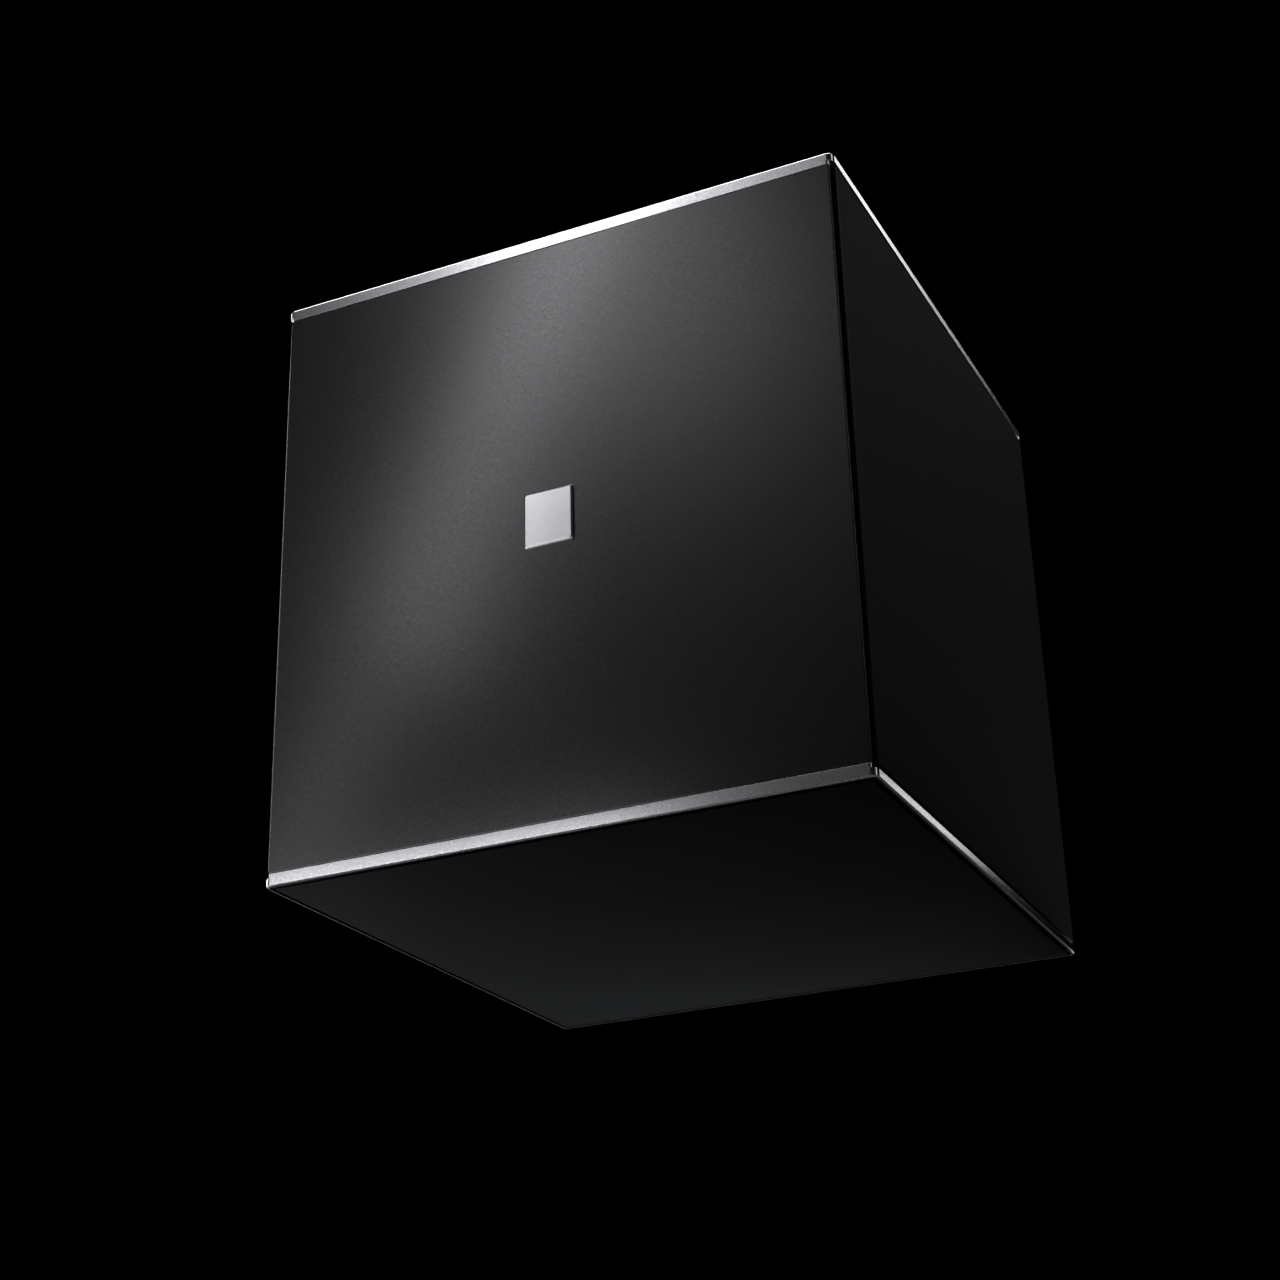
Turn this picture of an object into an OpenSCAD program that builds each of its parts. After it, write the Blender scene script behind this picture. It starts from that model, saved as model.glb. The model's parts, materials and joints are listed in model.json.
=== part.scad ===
// Compact powered subwoofer with a floating cloth grille and two bright edge bands.
// Millimetres. X to the right, Y to the back, Z up, origin under the middle of the cabinet.

/* [Cabinet] */
// Overall width
body_w = 320; // [300:5:360]
// Overall depth of the cabinet, without knobs and sockets
body_d = 324; // [300:4:360]
// Overall height
body_h = 332; // [320:4:370]
// Thickness of the side, rear, top and bottom boards
wall = 15; // [12:1:18]
// Thickness of the front baffle
baffle_t = 18; // [15:1:22]
// Depth of the baffle behind the front edges of the side boards
recess = 14; // [14:1:20]
// Rounding of the upright edges of the side boards
side_edge_r = 1.4; // [0.8:0.2:2]
// Thickness of the window brace
brace_t = 15; // [12:1:18]
// Width of the brace's rim
brace_rim = 34; // [28:1:50]
// Side of the square corner battens
batten = 15; // [12:1:18]
// Thickness of the damping pads
pad_t = 20; // [12:1:25]
// Glue line between boards
glue = 0.1; // [0.05:0.05:0.2]

/* [Edge bands] */
// Height of each band
band_h = 4.8; // [4:0.2:7]
// Height of the shadow gap beside each band, and of the front strip that fills it
band_strip = 2.2; // [1.6:0.2:3]
// Depth of each band in plan
band_t = 6; // [5:0.5:8]
// Corner radius of each band in plan
band_r = 3.5; // [2.5:0.5:4.5]
// Outer chamfer of each band
band_chamfer = 1; // [0.6:0.1:1.4]
// Width of the fine groove inside each band
groove_w = 2; // [1.2:0.2:3]
// Depth of that groove
groove_d = 2.6; // [1.6:0.2:3]
// Edge chamfer of the top and bottom boards
board_chamfer = 0.5; // [0.3:0.1:1]

/* [Grille] */
// Thickness of the grille's floating lip, cloth included
lip_t = 2; // [1.8:0.2:3]
// Set-back of the lip from the cabinet's sides
lip_inset = 2.4; // [1.6:0.2:4]
// Rounding of the lip's front edge
lip_r = 1.4; // [0.8:0.2:1.6]
// Thickness of the cloth
cloth_t = 0.6; // [0.4:0.1:1]
// Groove between the lip and the side boards
lip_gap = 1.2; // [1:0.2:3]
// Line between the grille and the bands
grille_line = 0.3; // [0.3:0.1:1]
// Width of the frame's rim behind the lip
rim_w = 12; // [10:1:16]
// Width of the frame's cross bars
bar_w = 14; // [10:1:20]
// Thickness of the cross bars
bar_t = 4; // [3:0.5:4]
// Radius of each peg
peg_r = 3; // [2.5:0.25:4]
// Length of each peg behind the frame
peg_len = 9; // [7:1:12]
// Running clearance of a peg in its cup
peg_fit = 0.08; // [0.02:0.02:0.1]
// Width of the badge plate
badge_w = 27; // [15:1:50]
// Height of the badge plate
badge_h = 30; // [10:1:50]
// Thickness of the badge plate
badge_t = 1.6; // [1:0.2:3]

/* [Driver] */
// Outer radius of the basket's flange
flange_r = 105; // [100:1:110]
// Radius of the hole in the baffle
cutout_r = 92; // [90:1:94]
// Radius of the voice coil former
coil_r = 19; // [16:0.5:20]
// Radius where the cone meets the surround
cone_r = 72; // [68:1:74]
// Depth of the cone from its edge to its neck
cone_depth = 34; // [30:1:38]
// Thickness of the cone
cone_t = 1.2; // [0.8:0.2:2]
// Radius of the dust cap
cap_r = 34; // [28:1:40]
// Radius of the surround's roll
roll_r = 7.5; // [6:0.5:8]
// Radius of the magnet
magnet_r = 58; // [50:1:62]
// Thickness of the magnet
magnet_t = 18; // [14:1:24]
// Thickness of the top plate and of the back plate
pole_plate_t = 8; // [6:1:10]
// Largest travel of the cone each way
throw = 6; // [4:0.5:6]
// Depth of the basket below its flange
basket_depth = 60; // [58:1:70]
// Thickness of the basket's metal
basket_t = 4; // [3:0.5:4]

/* [Amplifier] */
// Width of the rear plate
plate_w = 200; // [190:5:230]
// Height of the rear plate
plate_h = 240; // [230:5:270]
// Thickness of the rear plate
plate_t = 2.5; // [2:0.5:4]
// Overlap of the plate on the rear board
plate_lap = 9; // [9:1:12]
// Gasket thickness under the plate and under the driver
gasket_t = 1; // [0.6:0.2:1.4]
// Knob radius
knob_r = 9; // [8:0.5:14]
// Knob length
knob_len = 14; // [10:1:20]
// Radius of the potentiometer shafts
shaft_r = 3; // [2.5:0.25:3.5]
// Running clearance of the shafts in their bushings
shaft_fit = 0.05; // [0.02:0.01:0.1]
// Outer radius of a phono socket
phono_r = 4.15; // [4:0.05:4.3]
// Length of a phono socket's barrel
phono_len = 10; // [9:0.5:11]
// Travel of the slide switches
switch_travel = 4; // [3:0.5:5]
// Height of the heatsink's fins
fin_h = 11; // [8:1:16]
// Number of fins
fin_count = 13; // [7:1:17]
// Radius of the wood screws
screw_r = 2; // [1.5:0.25:2.5]

/* [Hidden] */
$fn = 64;
eps = 0.01;
hw = body_w / 2;
front = -body_d / 2;
rear = body_d / 2;
axis_z = body_h / 2;
band_top = band_h + band_strip;
board_z = band_top;
inner_w = body_w - 2 * wall;
inner_floor = wall;
inner_h = body_h - 2 * inner_floor;
board_front = front + lip_t + lip_gap;
baffle_front = board_front + recess;
baffle_back = baffle_front + baffle_t;
rear_inner = rear - wall;
ledge_in = band_t + glue;
groove_out = band_chamfer + 0.5;
slab_in = groove_out + groove_w;
lip_w = body_w - 2 * lip_inset;
lip_z = band_top + grille_line;
lip_h = body_h - 2 * lip_z;
frame_gap = 0.6;
frame_w = inner_w - 2 * frame_gap;
frame_h = inner_h - 2 * frame_gap;
frame_back = baffle_front - grille_line;
lip_back = front + lip_t;
peg_x = frame_w / 2 - rim_w / 2;
peg_z = frame_h / 2 - rim_w / 2;
cup_wall = 2;
cup_len = peg_len + 2;
magnet_clear = 1.4;
roll_in = cone_r + 1;
roll_mid = roll_in + roll_r;
roll_out = roll_mid + roll_r;
roll_t = 1;
seat_out = roll_out + 4.2;
cone_top = -1.2 - roll_t;
neck_z = cone_top - cone_depth;
ledge_z = -basket_depth * 2 / 3;
spider_r = 58;
spider_t = 0.5;
gap_top = -basket_depth;
magnet_top = gap_top - pole_plate_t;
back_top = magnet_top - magnet_t;
back_end = back_top - pole_plate_t;
pole_r = coil_r - 0.8;
gap_r = coil_r + magnet_clear;
former_t = 0.2;
winding_t = 0.7;
winding_len = pole_plate_t + 2 * throw;
coil_mid = gap_top - pole_plate_t / 2;
former_end = coil_mid - winding_len / 2 - 3;
strut_count = 6;
driver_screw_ring = flange_r - 5.5;
driver_screw_count = 8;
neck_r = coil_r + former_t + 0.02;
neck_top = neck_z + cone_t + 0.6;
edge_in = cone_r - 5;
edge_top = cone_top + 0.96;
cap_wall = 1;
cap_seat = neck_top + (cap_r - neck_r) * (edge_top - neck_top) / (edge_in - neck_r) + cap_wall + 0.05;
tab_len = 7;
block_y = spider_r + 7;
block_d = 10.6;
block_t = 4;
tab_end = block_y + block_d / 2 + tab_len;
tab_z = ledge_z - 2.52 - block_t / 2;
plate_set = 0.2;
plate_gap = 0.4;
plate_face = rear - plate_set;
plate_back = -plate_t;
amp_cut_w = plate_w - 2 * plate_lap;
amp_cut_h = plate_h - 2 * plate_lap;
amp_recess = plate_set + plate_t + gasket_t;
knob_gap = 0.6;
pot_x = 45;
pot_y = plate_h / 2 - 28;
pot_body_r = 8.5;
pot_body_t = 8;
bush_r = shaft_r + 0.9;
bush_len = 6;
nut_r = 6;
nut_t = 2;
control_board_z = plate_back - pot_body_t;
board_t = 1.6;
switch_y = pot_y - 36;
nub = 3.6;
slot_gap = 0.3;
slide_floor = 3.2;
phono_y = switch_y - 34;
phono_x = [27, 45, 63];
phono_bore = 3.5;
phono_collar = 2;
sink_w = 130;
sink_h = 56;
sink_y = -26;
inlet_x = -48;
inlet_y = -plate_h / 2 + 30;
inlet_w = 27;
inlet_h = 20;
inlet_deep = 17;
socket_w = 24.4;
socket_h = 16.2;
socket_deep = 15;
flange_w = 50;
flange_h = 24;
rocker_x = 2;
rocker_w = 13;
rocker_h = 19.4;
rocker_tilt = 9;
rocker_pivot = -1.5;
toroid_x = 50;
toroid_y = -72;
toroid_r = 34;
toroid_bore = 12;
toroid_h = 30;
main_x = -38;
main_y = 2;
main_w = 92;
main_h = 112;
standoff_len = 10;
main_top = plate_back - standoff_len;
cap_can_r = 12.5;
cap_can_h = 42;

// ---------- shared shapes ----------

// A rectangle in plan with true round corners.
module plan_rect(w, d, r) {
  square([w - 2 * r, d], center = true);
  square([w, d - 2 * r], center = true);
  for (x = [-1, 1], y = [-1, 1])
    translate([x * (w / 2 - r), y * (d / 2 - r)]) circle(r);
}

// The section of a board of width w and height h with both lower edges cut at 45 degrees.
module chamfered_section(w, h, c) {
  polygon([[-w / 2 + c, 0], [w / 2 - c, 0], [w / 2, c], [w / 2, h], [-w / 2, h], [-w / 2, c]]);
}

// A board lying on z = 0 with round corners and a chamfer all round its lower edge.
module chamfered_slab(w, d, h, r, c) {
  intersection() {
    linear_extrude(h) plan_rect(w, d, r);
    rotate([90, 0, 0]) linear_extrude(d + 2, center = true) chamfered_section(w, h, c);
    rotate([90, 0, 90]) linear_extrude(w + 2, center = true) chamfered_section(d, h, c);
  }
}

module box_at(w, d, h, z = 0) {
  translate([-w / 2, -d / 2, z]) cube([w, d, h]);
}

module tube(r_out, r_in, h, z = 0) {
  translate([0, 0, z]) difference() {
    cylinder(h, r = r_out);
    translate([0, 0, -1]) cylinder(h + 2, r = r_in);
  }
}

// Flips a bottom part to the matching part at the top of the cabinet.
module at_top() {
  translate([0, 0, body_h]) mirror([0, 0, 1]) children();
}

// Driver frame: Z forward out of the baffle, Y up, origin on the baffle's front face.
module at_driver() {
  translate([0, baffle_front, axis_z]) rotate([90, 0, 0]) children();
}

// Rear plate frame: Z out of the plate, X right and Y up as seen from behind.
module at_plate(x = 0, y = 0) {
  translate([0, plate_face, axis_z]) rotate([90, 0, 180]) translate([x, y, 0]) children();
}

module ring_of(count, r, start = 0) {
  for (i = [0 : count - 1]) rotate(start + i * 360 / count) translate([r, 0, 0]) children();
}

module pan_head_screw(r, len, head_r, head_h) {
  difference() {
    union() {
      translate([0, 0, -len]) cylinder(len, r = r);
      cylinder(head_h, r = head_r);
    }
    for (a = [0, 90]) rotate(a) translate([-head_r * 0.55, -0.4, head_h - 1]) cube([head_r * 1.1, 0.8, 2]);
  }
}

// ---------- bands and boards ----------

module band() {
  color("silver") {
    difference() {
      chamfered_slab(body_w, body_d, band_h, band_r, band_chamfer);
      box_at(body_w - 2 * band_t, body_d - 2 * band_t, 20, -1);
      box_at(body_w - 2 * groove_out, body_d - 2 * groove_out, groove_d + 1 + glue, -1);
    }
    translate([0, front + (band_t + lip_t) / 4, band_h])
      linear_extrude(band_strip) plan_rect(lip_w, (band_t + lip_t) / 2, lip_r);
  }
}

module bottom_band() band();
module top_band() at_top() band();

module end_board() {
  color([0.03, 0.03, 0.035]) {
    chamfered_slab(body_w - 2 * slab_in, body_d - 2 * slab_in, groove_d, band_r, board_chamfer);
    box_at(body_w - 2 * ledge_in, body_d - 2 * ledge_in, board_z - glue - 1, 1);
    translate([0, (baffle_back + rear_inner) / 2, 0])
      box_at(inner_w - 2 * glue, rear_inner - baffle_back - 2 * glue, wall - 1, 1);
    translate([0, (front + ledge_in + baffle_front) / 2, 0])
      box_at(inner_w - 2 * glue, baffle_front - front - ledge_in - glue, wall - 1, 1);
  }
}

module bottom_panel() end_board();
module top_panel() at_top() end_board();

module side_board() {
  depth = rear - board_front;
  color([0.03, 0.03, 0.035])
    translate([hw - wall, board_front, board_z]) linear_extrude(body_h - 2 * board_z) {
      square([wall - side_edge_r, depth]);
      translate([0, side_edge_r]) square([wall, depth - side_edge_r - band_r]);
      translate([0, depth - band_r - eps]) square([wall - band_r, band_r]);
      translate([wall - side_edge_r, side_edge_r]) circle(side_edge_r);
      translate([wall - band_r, depth - band_r]) circle(band_r);
    }
}

module right_side_panel() side_board();
module left_side_panel() mirror([1, 0, 0]) side_board();

module rear_panel() {
  w = inner_w - 2 * glue;
  color([0.03, 0.03, 0.035]) difference() {
    translate([-w / 2, rear_inner, board_z]) cube([w, wall, body_h - 2 * board_z]);
    at_plate() {
      box_at(amp_cut_w, amp_cut_h, 4 * wall, -3 * wall);
      box_at(plate_w + 2 * plate_gap, plate_h + 2 * plate_gap, amp_recess + 5, plate_set - amp_recess);
      amp_screw_places() translate([0, 0, -wall + 1]) cylinder(wall, r = screw_r + 0.02);
    }
  }
}

module front_baffle() {
  w = inner_w - 2 * glue;
  color([0.05, 0.045, 0.04]) difference() {
    translate([-w / 2, baffle_front, board_z]) cube([w, baffle_t, body_h - 2 * board_z]);
    at_driver() {
      translate([0, 0, -baffle_t - 1]) cylinder(baffle_t + 2, r = cutout_r);
      translate([0, 0, -basket_t - gasket_t]) cylinder(20, r = flange_r + 0.5);
      ring_of(driver_screw_count, driver_screw_ring, 22.5)
        translate([0, 0, -baffle_t + 2]) cylinder(20, r = screw_r + 0.02);
      for (x = [-peg_x, peg_x], y = [-peg_z, peg_z])
        translate([x, y, -baffle_t - 1]) cylinder(baffle_t + 2, r = peg_r + cup_wall + 0.02);
    }
  }
}

module window_brace() {
  w = inner_w - 2 * glue;
  h = inner_h - 2 * glue;
  color("burlywood") translate([0, 0, axis_z]) rotate([90, 0, 0]) difference() {
    box_at(w, h, brace_t, -brace_t / 2);
    box_at(w - 2 * brace_rim, h - 2 * brace_rim, brace_t + 2, -brace_t / 2 - 1);
  }
}

module corner_battens() {
  x = inner_w / 2 - batten / 2 - glue;
  ends = [baffle_back + batten / 2 + glue, rear_inner - batten / 2 - glue];
  color("burlywood")
    for (s = [-1, 1], y = ends)
      translate([s * x, y, 0]) box_at(batten, batten, inner_h - 2 * glue, inner_floor + glue);
}

module damping_pads() {
  run = rear_inner - baffle_back - 2 * batten - brace_t;
  x = inner_w / 2 - pad_t / 2 - glue;
  y_front = (baffle_back + batten - brace_t / 2) / 2;
  y_rear = (rear_inner - batten + brace_t / 2) / 2;
  color([0.8, 0.8, 0.78])
    for (s = [-1, 1]) {
      translate([s * x, y_front, 0])
        box_at(pad_t, -brace_t / 2 - baffle_back - batten - 6, inner_h - 30, inner_floor + 15);
      translate([s * x, y_rear, 0])
        box_at(pad_t, rear_inner - batten - brace_t / 2 - 6, inner_h - 30, inner_floor + 15);
    }
}

// ---------- grille ----------

// The section of the lip: width w, thickness t, both front edges rounded to radius r.
module rounded_section(w, t, r) {
  arc = [for (i = [0 : 6]) [w / 2 - r + r * sin(15 * i), t - r + r * cos(15 * i)]];
  left = [for (i = [6 : -1 : 0]) [-arc[i][0], arc[i][1]]];
  polygon(concat(arc, [[w / 2, 0], [-w / 2, 0]], left));
}

module rounded_lip(w, h, t, r) {
  intersection() {
    linear_extrude(t) plan_rect(w, h, r);
    rotate([90, 0, 0]) linear_extrude(h + 2, center = true) rounded_section(w, t, r);
    rotate([90, 0, 90]) linear_extrude(w + 2, center = true) rounded_section(h, t, r);
  }
}

// Grille frame: Z forward, origin on the lip's back face.
module at_grille() {
  translate([0, lip_back, axis_z]) rotate([90, 0, 0]) children();
}

module grille_cloth() {
  color([0.05, 0.05, 0.055]) at_grille() difference() {
    rounded_lip(lip_w, lip_h, lip_t, lip_r);
    box_at(lip_w - 2 * cloth_t, lip_h - 2 * cloth_t, lip_t, -cloth_t);
  }
}

module grille_frame() {
  skin = lip_t - cloth_t;
  fit = 0.05;
  w = lip_w - 2 * cloth_t - 2 * fit;
  h = lip_h - 2 * cloth_t - 2 * fit;
  rim_back = lip_back - frame_back;
  color([0.08, 0.08, 0.08]) at_grille() {
    difference() {
      union() {
        box_at(w, h, skin - fit);
        box_at(frame_w, frame_h, -rim_back + eps, rim_back);
      }
      box_at(frame_w - 2 * rim_w, frame_h - 2 * rim_w, 60, -40);
      for (x = [-peg_x, peg_x], y = [-peg_z, peg_z])
        translate([x, y, rim_back - 1]) cylinder(7, r = peg_r + 0.02);
    }
    box_at(bar_w, frame_h - rim_w, bar_t, skin - fit - bar_t);
    box_at(frame_w - rim_w, bar_w, bar_t, skin - fit - bar_t);
    box_at(badge_w + 4, badge_h + 4, bar_t, skin - fit - bar_t);
  }
}

module grille_pegs() {
  rim_back = lip_back - frame_back;
  color("dimgray") at_grille() for (x = [-peg_x, peg_x], y = [-peg_z, peg_z])
    translate([x, y, rim_back - peg_len]) {
      cylinder(peg_len + 6, r = peg_r);
    }
}

module grille_cups() {
  color([0.06, 0.06, 0.06]) at_driver() for (x = [-peg_x, peg_x], y = [-peg_z, peg_z])
    translate([x, y, -cup_len]) difference() {
      cylinder(cup_len, r = peg_r + cup_wall);
      translate([0, 0, 1.5]) cylinder(cup_len, r = peg_r + peg_fit);
    }
}

module badge_plate() {
  edge = 0.5;
  color("silver") translate([0, front - 0.02, axis_z]) rotate([90, 0, 0]) intersection() {
    linear_extrude(badge_t) plan_rect(badge_w, badge_h, 1.2);
    rotate([90, 0, 0]) linear_extrude(badge_h + 2, center = true)
      polygon([[-badge_w / 2, 0], [badge_w / 2, 0], [badge_w / 2, badge_t - edge],
        [badge_w / 2 - edge, badge_t], [-badge_w / 2 + edge, badge_t], [-badge_w / 2, badge_t - edge]]);
    rotate([90, 0, 90]) linear_extrude(badge_w + 2, center = true)
      polygon([[-badge_h / 2, 0], [badge_h / 2, 0], [badge_h / 2, badge_t - edge],
        [badge_h / 2 - edge, badge_t], [-badge_h / 2 + edge, badge_t], [-badge_h / 2, badge_t - edge]]);
  }
}

// ---------- driver ----------

module driver_gasket() {
  color("black") at_driver() difference() {
    tube(flange_r, cutout_r + 0.5, gasket_t - 0.02, -basket_t - gasket_t + 0.01);
    ring_of(driver_screw_count, driver_screw_ring, 22.5)
      translate([0, 0, -basket_t - gasket_t - 1]) cylinder(gasket_t + 2, r = screw_r + 0.2);
  }
}

module driver_basket() {
  seat = 1.2;
  top_r = cutout_r - 1;
  color([0.12, 0.12, 0.13]) at_driver() {
    difference() {
      rotate_extrude() polygon([
        [roll_out - 2, -seat - 2.8], [top_r - 3, -basket_t - 6], [top_r, -basket_t - 6],
        [top_r, -basket_t], [flange_r, -basket_t], [flange_r, -0.4], [flange_r - 0.4, 0],
        [seat_out, 0], [seat_out, -seat], [roll_out - 2, -seat]
      ]);
      ring_of(driver_screw_count, driver_screw_ring, 22.5)
        translate([0, 0, -basket_t - 1]) cylinder(basket_t + 2, r = screw_r + 0.2);
    }
    for (i = [0 : strut_count - 1]) rotate(i * 360 / strut_count)
      rotate([90, 0, 0]) linear_extrude(12, center = true) polygon([
        [top_r - 3, -basket_t - 5], [top_r, -basket_t - 5],
        [spider_r + 6, ledge_z - 2], [magnet_r - 2, -basket_depth],
        [magnet_r - 10, -basket_depth], [magnet_r - 10, -basket_depth + basket_t],
        [spider_r + 1, ledge_z - 2]
      ]);
    tube(spider_r + 5, spider_r - 2.5, 2.5, ledge_z - 2.5);
    tube(magnet_r - 2, coil_r + 8, basket_t, -basket_depth);
  }
}

module driver_screws() {
  color("dimgray") at_driver() ring_of(driver_screw_count, driver_screw_ring, 22.5)
    pan_head_screw(screw_r, 15, 3.8, 2.2);
}

module top_plate() {
  color("gray") at_driver() tube(magnet_r - 6, gap_r, pole_plate_t - 0.02, magnet_top);
}

module magnet_ring() {
  color([0.15, 0.15, 0.16]) at_driver() tube(magnet_r, coil_r + 9, magnet_t - 0.04, back_top + 0.02);
}

module t_yoke() {
  color("gray") at_driver() difference() {
    union() {
      translate([0, 0, back_end]) cylinder(pole_plate_t, r = magnet_r - 6);
      translate([0, 0, back_top - 1]) cylinder(gap_top - back_top + 1, r = pole_r);
    }
    translate([0, 0, back_end - 1]) cylinder(60, r = 6);
  }
}

module terminal_block() {
  color([0.1, 0.1, 0.1]) at_driver() {
    translate([0, -block_y, tab_z - block_t / 2]) box_at(26, block_d, block_t);
    for (x = [-6, 6]) translate([x, -tab_end + tab_len / 2, tab_z - 0.4]) box_at(4.8, tab_len + 0.2, 0.8);
  }
}

// Two insulated wires drop from the driver's tabs, run back and rise against the main board.
module driver_leads() {
  wire_r = 1.3;
  bend = 12;
  drop = 2.6;
  drop_z = axis_z - tab_end - drop - 0.15;
  run_z = drop_z - bend;
  y_tab = baffle_front - tab_z;
  y_board = plate_face + main_top - board_t - wire_r - 0.1;
  color("firebrick") for (x = [-6, 6]) translate([x, 0, 0]) {
    translate([0, y_tab, drop_z]) cylinder(drop, r = wire_r);
    translate([0, y_tab + bend, drop_z]) rotate([-90, 0, -90])
      rotate_extrude(angle = 90) translate([bend, 0]) circle(wire_r);
    translate([0, y_tab + bend, run_z]) rotate([-90, 0, 0])
      cylinder(y_board - y_tab - 2 * bend, r = wire_r);
    translate([0, y_board - bend, run_z + bend]) rotate([90, 90, 90])
      rotate_extrude(angle = 90) translate([bend, 0]) circle(wire_r);
    translate([0, y_board, run_z + bend])
      cylinder(axis_z + main_y - main_h / 2 + 10 - run_z - bend, r = wire_r);
  }
}

module spider() {
  pitch = (spider_r - coil_r - 1) / 5;
  wave = 1.1;
  crest = [for (i = [0 : 40]) let (r = coil_r + 0.3 + i * (spider_r - coil_r - 0.3) / 40)
    [r, ledge_z + 0.05 + wave * (1 - cos(360 * (spider_r - r) / pitch)) / 2]];
  under = [for (i = [40 : -1 : 0]) [crest[i][0], crest[i][1] + spider_t]];
  color("goldenrod") at_driver() rotate_extrude() polygon(concat(crest, under));
}

module surround() {
  seat = -1.18;
  out = [for (a = [0 : 12 : 180]) [roll_mid + roll_r * cos(a), seat + roll_t + roll_r * sin(a)]];
  in = [for (a = [180 : -12 : 0]) [roll_mid + (roll_r - roll_t) * cos(a), seat + roll_t + (roll_r - roll_t) * sin(a)]];
  color([0.06, 0.06, 0.06]) at_driver() {
    rotate_extrude() polygon(concat(out, in));
    tube(seat_out - 0.2, roll_out - roll_t, roll_t, seat);
    tube(roll_in - 1 + roll_t + 1, cone_r - 4, roll_t, seat);
  }
}

module cone() {
  color([0.13, 0.13, 0.14]) at_driver() rotate_extrude() polygon([
    [neck_r, neck_z], [neck_r + cone_t, neck_z - 0.4], [cone_r - 4, edge_top - cone_t - 1.6],
    [cone_r, edge_top - cone_t], [cone_r, edge_top], [edge_in, edge_top], [neck_r, neck_top]
  ]);
}

module dust_cap() {
  rise = 10;
  ball = (cap_r * cap_r + rise * rise) / (2 * rise);
  span = asin(cap_r / ball);
  outer = [for (i = [0 : 16]) let (a = span * i / 16) [ball * sin(a), cap_seat - ball + rise + ball * cos(a)]];
  inner = [for (i = [16 : -1 : 0]) [outer[i][0], outer[i][1] - cap_wall]];
  color([0.09, 0.09, 0.1]) at_driver() rotate_extrude() polygon(concat(outer, inner));
}

module voice_coil_former() {
  color("goldenrod") at_driver()
    tube(coil_r + former_t, coil_r, neck_z + cone_t - former_end, former_end);
}

module voice_coil_winding() {
  color("chocolate") at_driver()
    tube(coil_r + former_t + winding_t, coil_r + former_t + 0.01, winding_len, coil_mid - winding_len / 2);
}

// ---------- amplifier ----------

module amp_screw_places() {
  sx = plate_w / 2 - plate_lap / 2;
  sy = plate_h / 2 - plate_lap / 2;
  for (x = [-1, 1], y = [-1, 0, 1]) translate([x * sx, y * sy, 0]) children();
  for (y = [-1, 1]) translate([0, y * sy, 0]) children();
}

module amp_plate() {
  color([0.05, 0.05, 0.055]) at_plate() difference() {
    translate([0, 0, plate_back]) linear_extrude(plate_t) plan_rect(plate_w, plate_h, 4);
    translate([0, 0, plate_back - 1]) {
      amp_screw_places() cylinder(plate_t + 2, r = screw_r + 0.2);
      for (x = [-pot_x, pot_x]) translate([x, pot_y]) cylinder(plate_t + 2, r = bush_r + 0.05);
      for (x = phono_x) translate([x, phono_y]) cylinder(plate_t + 2, r = phono_r + 0.05);
      for (x = [-pot_x, pot_x]) translate([x, switch_y])
        box_at(nub + switch_travel + 2 * slot_gap, nub + 2 * slot_gap, plate_t + 2);
      translate([inlet_x, inlet_y]) box_at(inlet_w + 0.2, inlet_h + 0.2, plate_t + 2);
      for (x = [-1, 1]) translate([inlet_x + x * 20, inlet_y]) cylinder(plate_t + 2, r = 1.7);
      translate([rocker_x, inlet_y]) box_at(rocker_w + 3.2, rocker_h + 3.2, plate_t + 2);
      translate([0, pot_y]) cylinder(plate_t + 2, r = 2.55);
      translate([toroid_x, toroid_y]) cylinder(plate_t + 2, r = 2.55);
    }
  }
}

module amp_gasket() {
  color("black") at_plate() difference() {
    translate([0, 0, plate_back - gasket_t + 0.01]) linear_extrude(gasket_t - 0.02) difference() {
      plan_rect(plate_w, plate_h, 4);
      square([amp_cut_w, amp_cut_h], center = true);
    }
    amp_screw_places() translate([0, 0, -10]) cylinder(12, r = screw_r + 0.2);
  }
}

module amp_screws() {
  color("dimgray") at_plate() amp_screw_places() pan_head_screw(screw_r, 14, 3.8, 2.2);
}

module heatsink() {
  base = 3;
  pitch = (sink_w - 2) / (fin_count - 1);
  color([0.04, 0.04, 0.045]) at_plate(0, sink_y) {
    translate([0, 0, 0.02]) box_at(sink_w, sink_h, base);
    for (i = [0 : fin_count - 1])
      translate([-sink_w / 2 + 1 + i * pitch, 0, 0.02]) box_at(2, sink_h, base + fin_h);
  }
}

module main_corner_places() {
  for (x = [-1, 1], y = [-1, 1])
    translate([main_x + x * (main_w / 2 - 5), main_y + y * (main_h / 2 - 5), 0]) children();
}

module board_standoffs() {
  color("goldenrod") at_plate() main_corner_places()
    translate([0, 0, main_top + 0.01]) cylinder(standoff_len - 0.02, r = 3);
}

module main_board() {
  color("darkgreen") at_plate() difference() {
    translate([main_x, main_y, 0]) box_at(main_w, main_h, board_t, main_top - board_t);
    main_corner_places() translate([0, 0, main_top - 5]) cylinder(10, r = 1.6);
  }
}

module power_transformer() {
  color("darkorange") at_plate(toroid_x, toroid_y)
    tube(toroid_r, toroid_bore, toroid_h, plate_back - toroid_h - 0.02);
}

module transformer_bolt() {
  color("silver") at_plate(toroid_x, toroid_y) {
    translate([0, 0, plate_back - toroid_h - 6]) cylinder(toroid_h + 6 + plate_t, r = 2.5);
    cylinder(3, r = 4.4);
    translate([0, 0, plate_back - toroid_h - 2.04]) cylinder(2, r = toroid_bore + 8);
    translate([0, 0, plate_back - toroid_h - 6]) cylinder(4, r = 4.4, $fn = 6);
  }
}

module capacitors() {
  color([0.1, 0.1, 0.25]) at_plate() for (y = [-24, 24])
    translate([main_x - 22, main_y + y, main_top - board_t - cap_can_h - 0.02]) cylinder(cap_can_h, r = cap_can_r);
}

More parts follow.
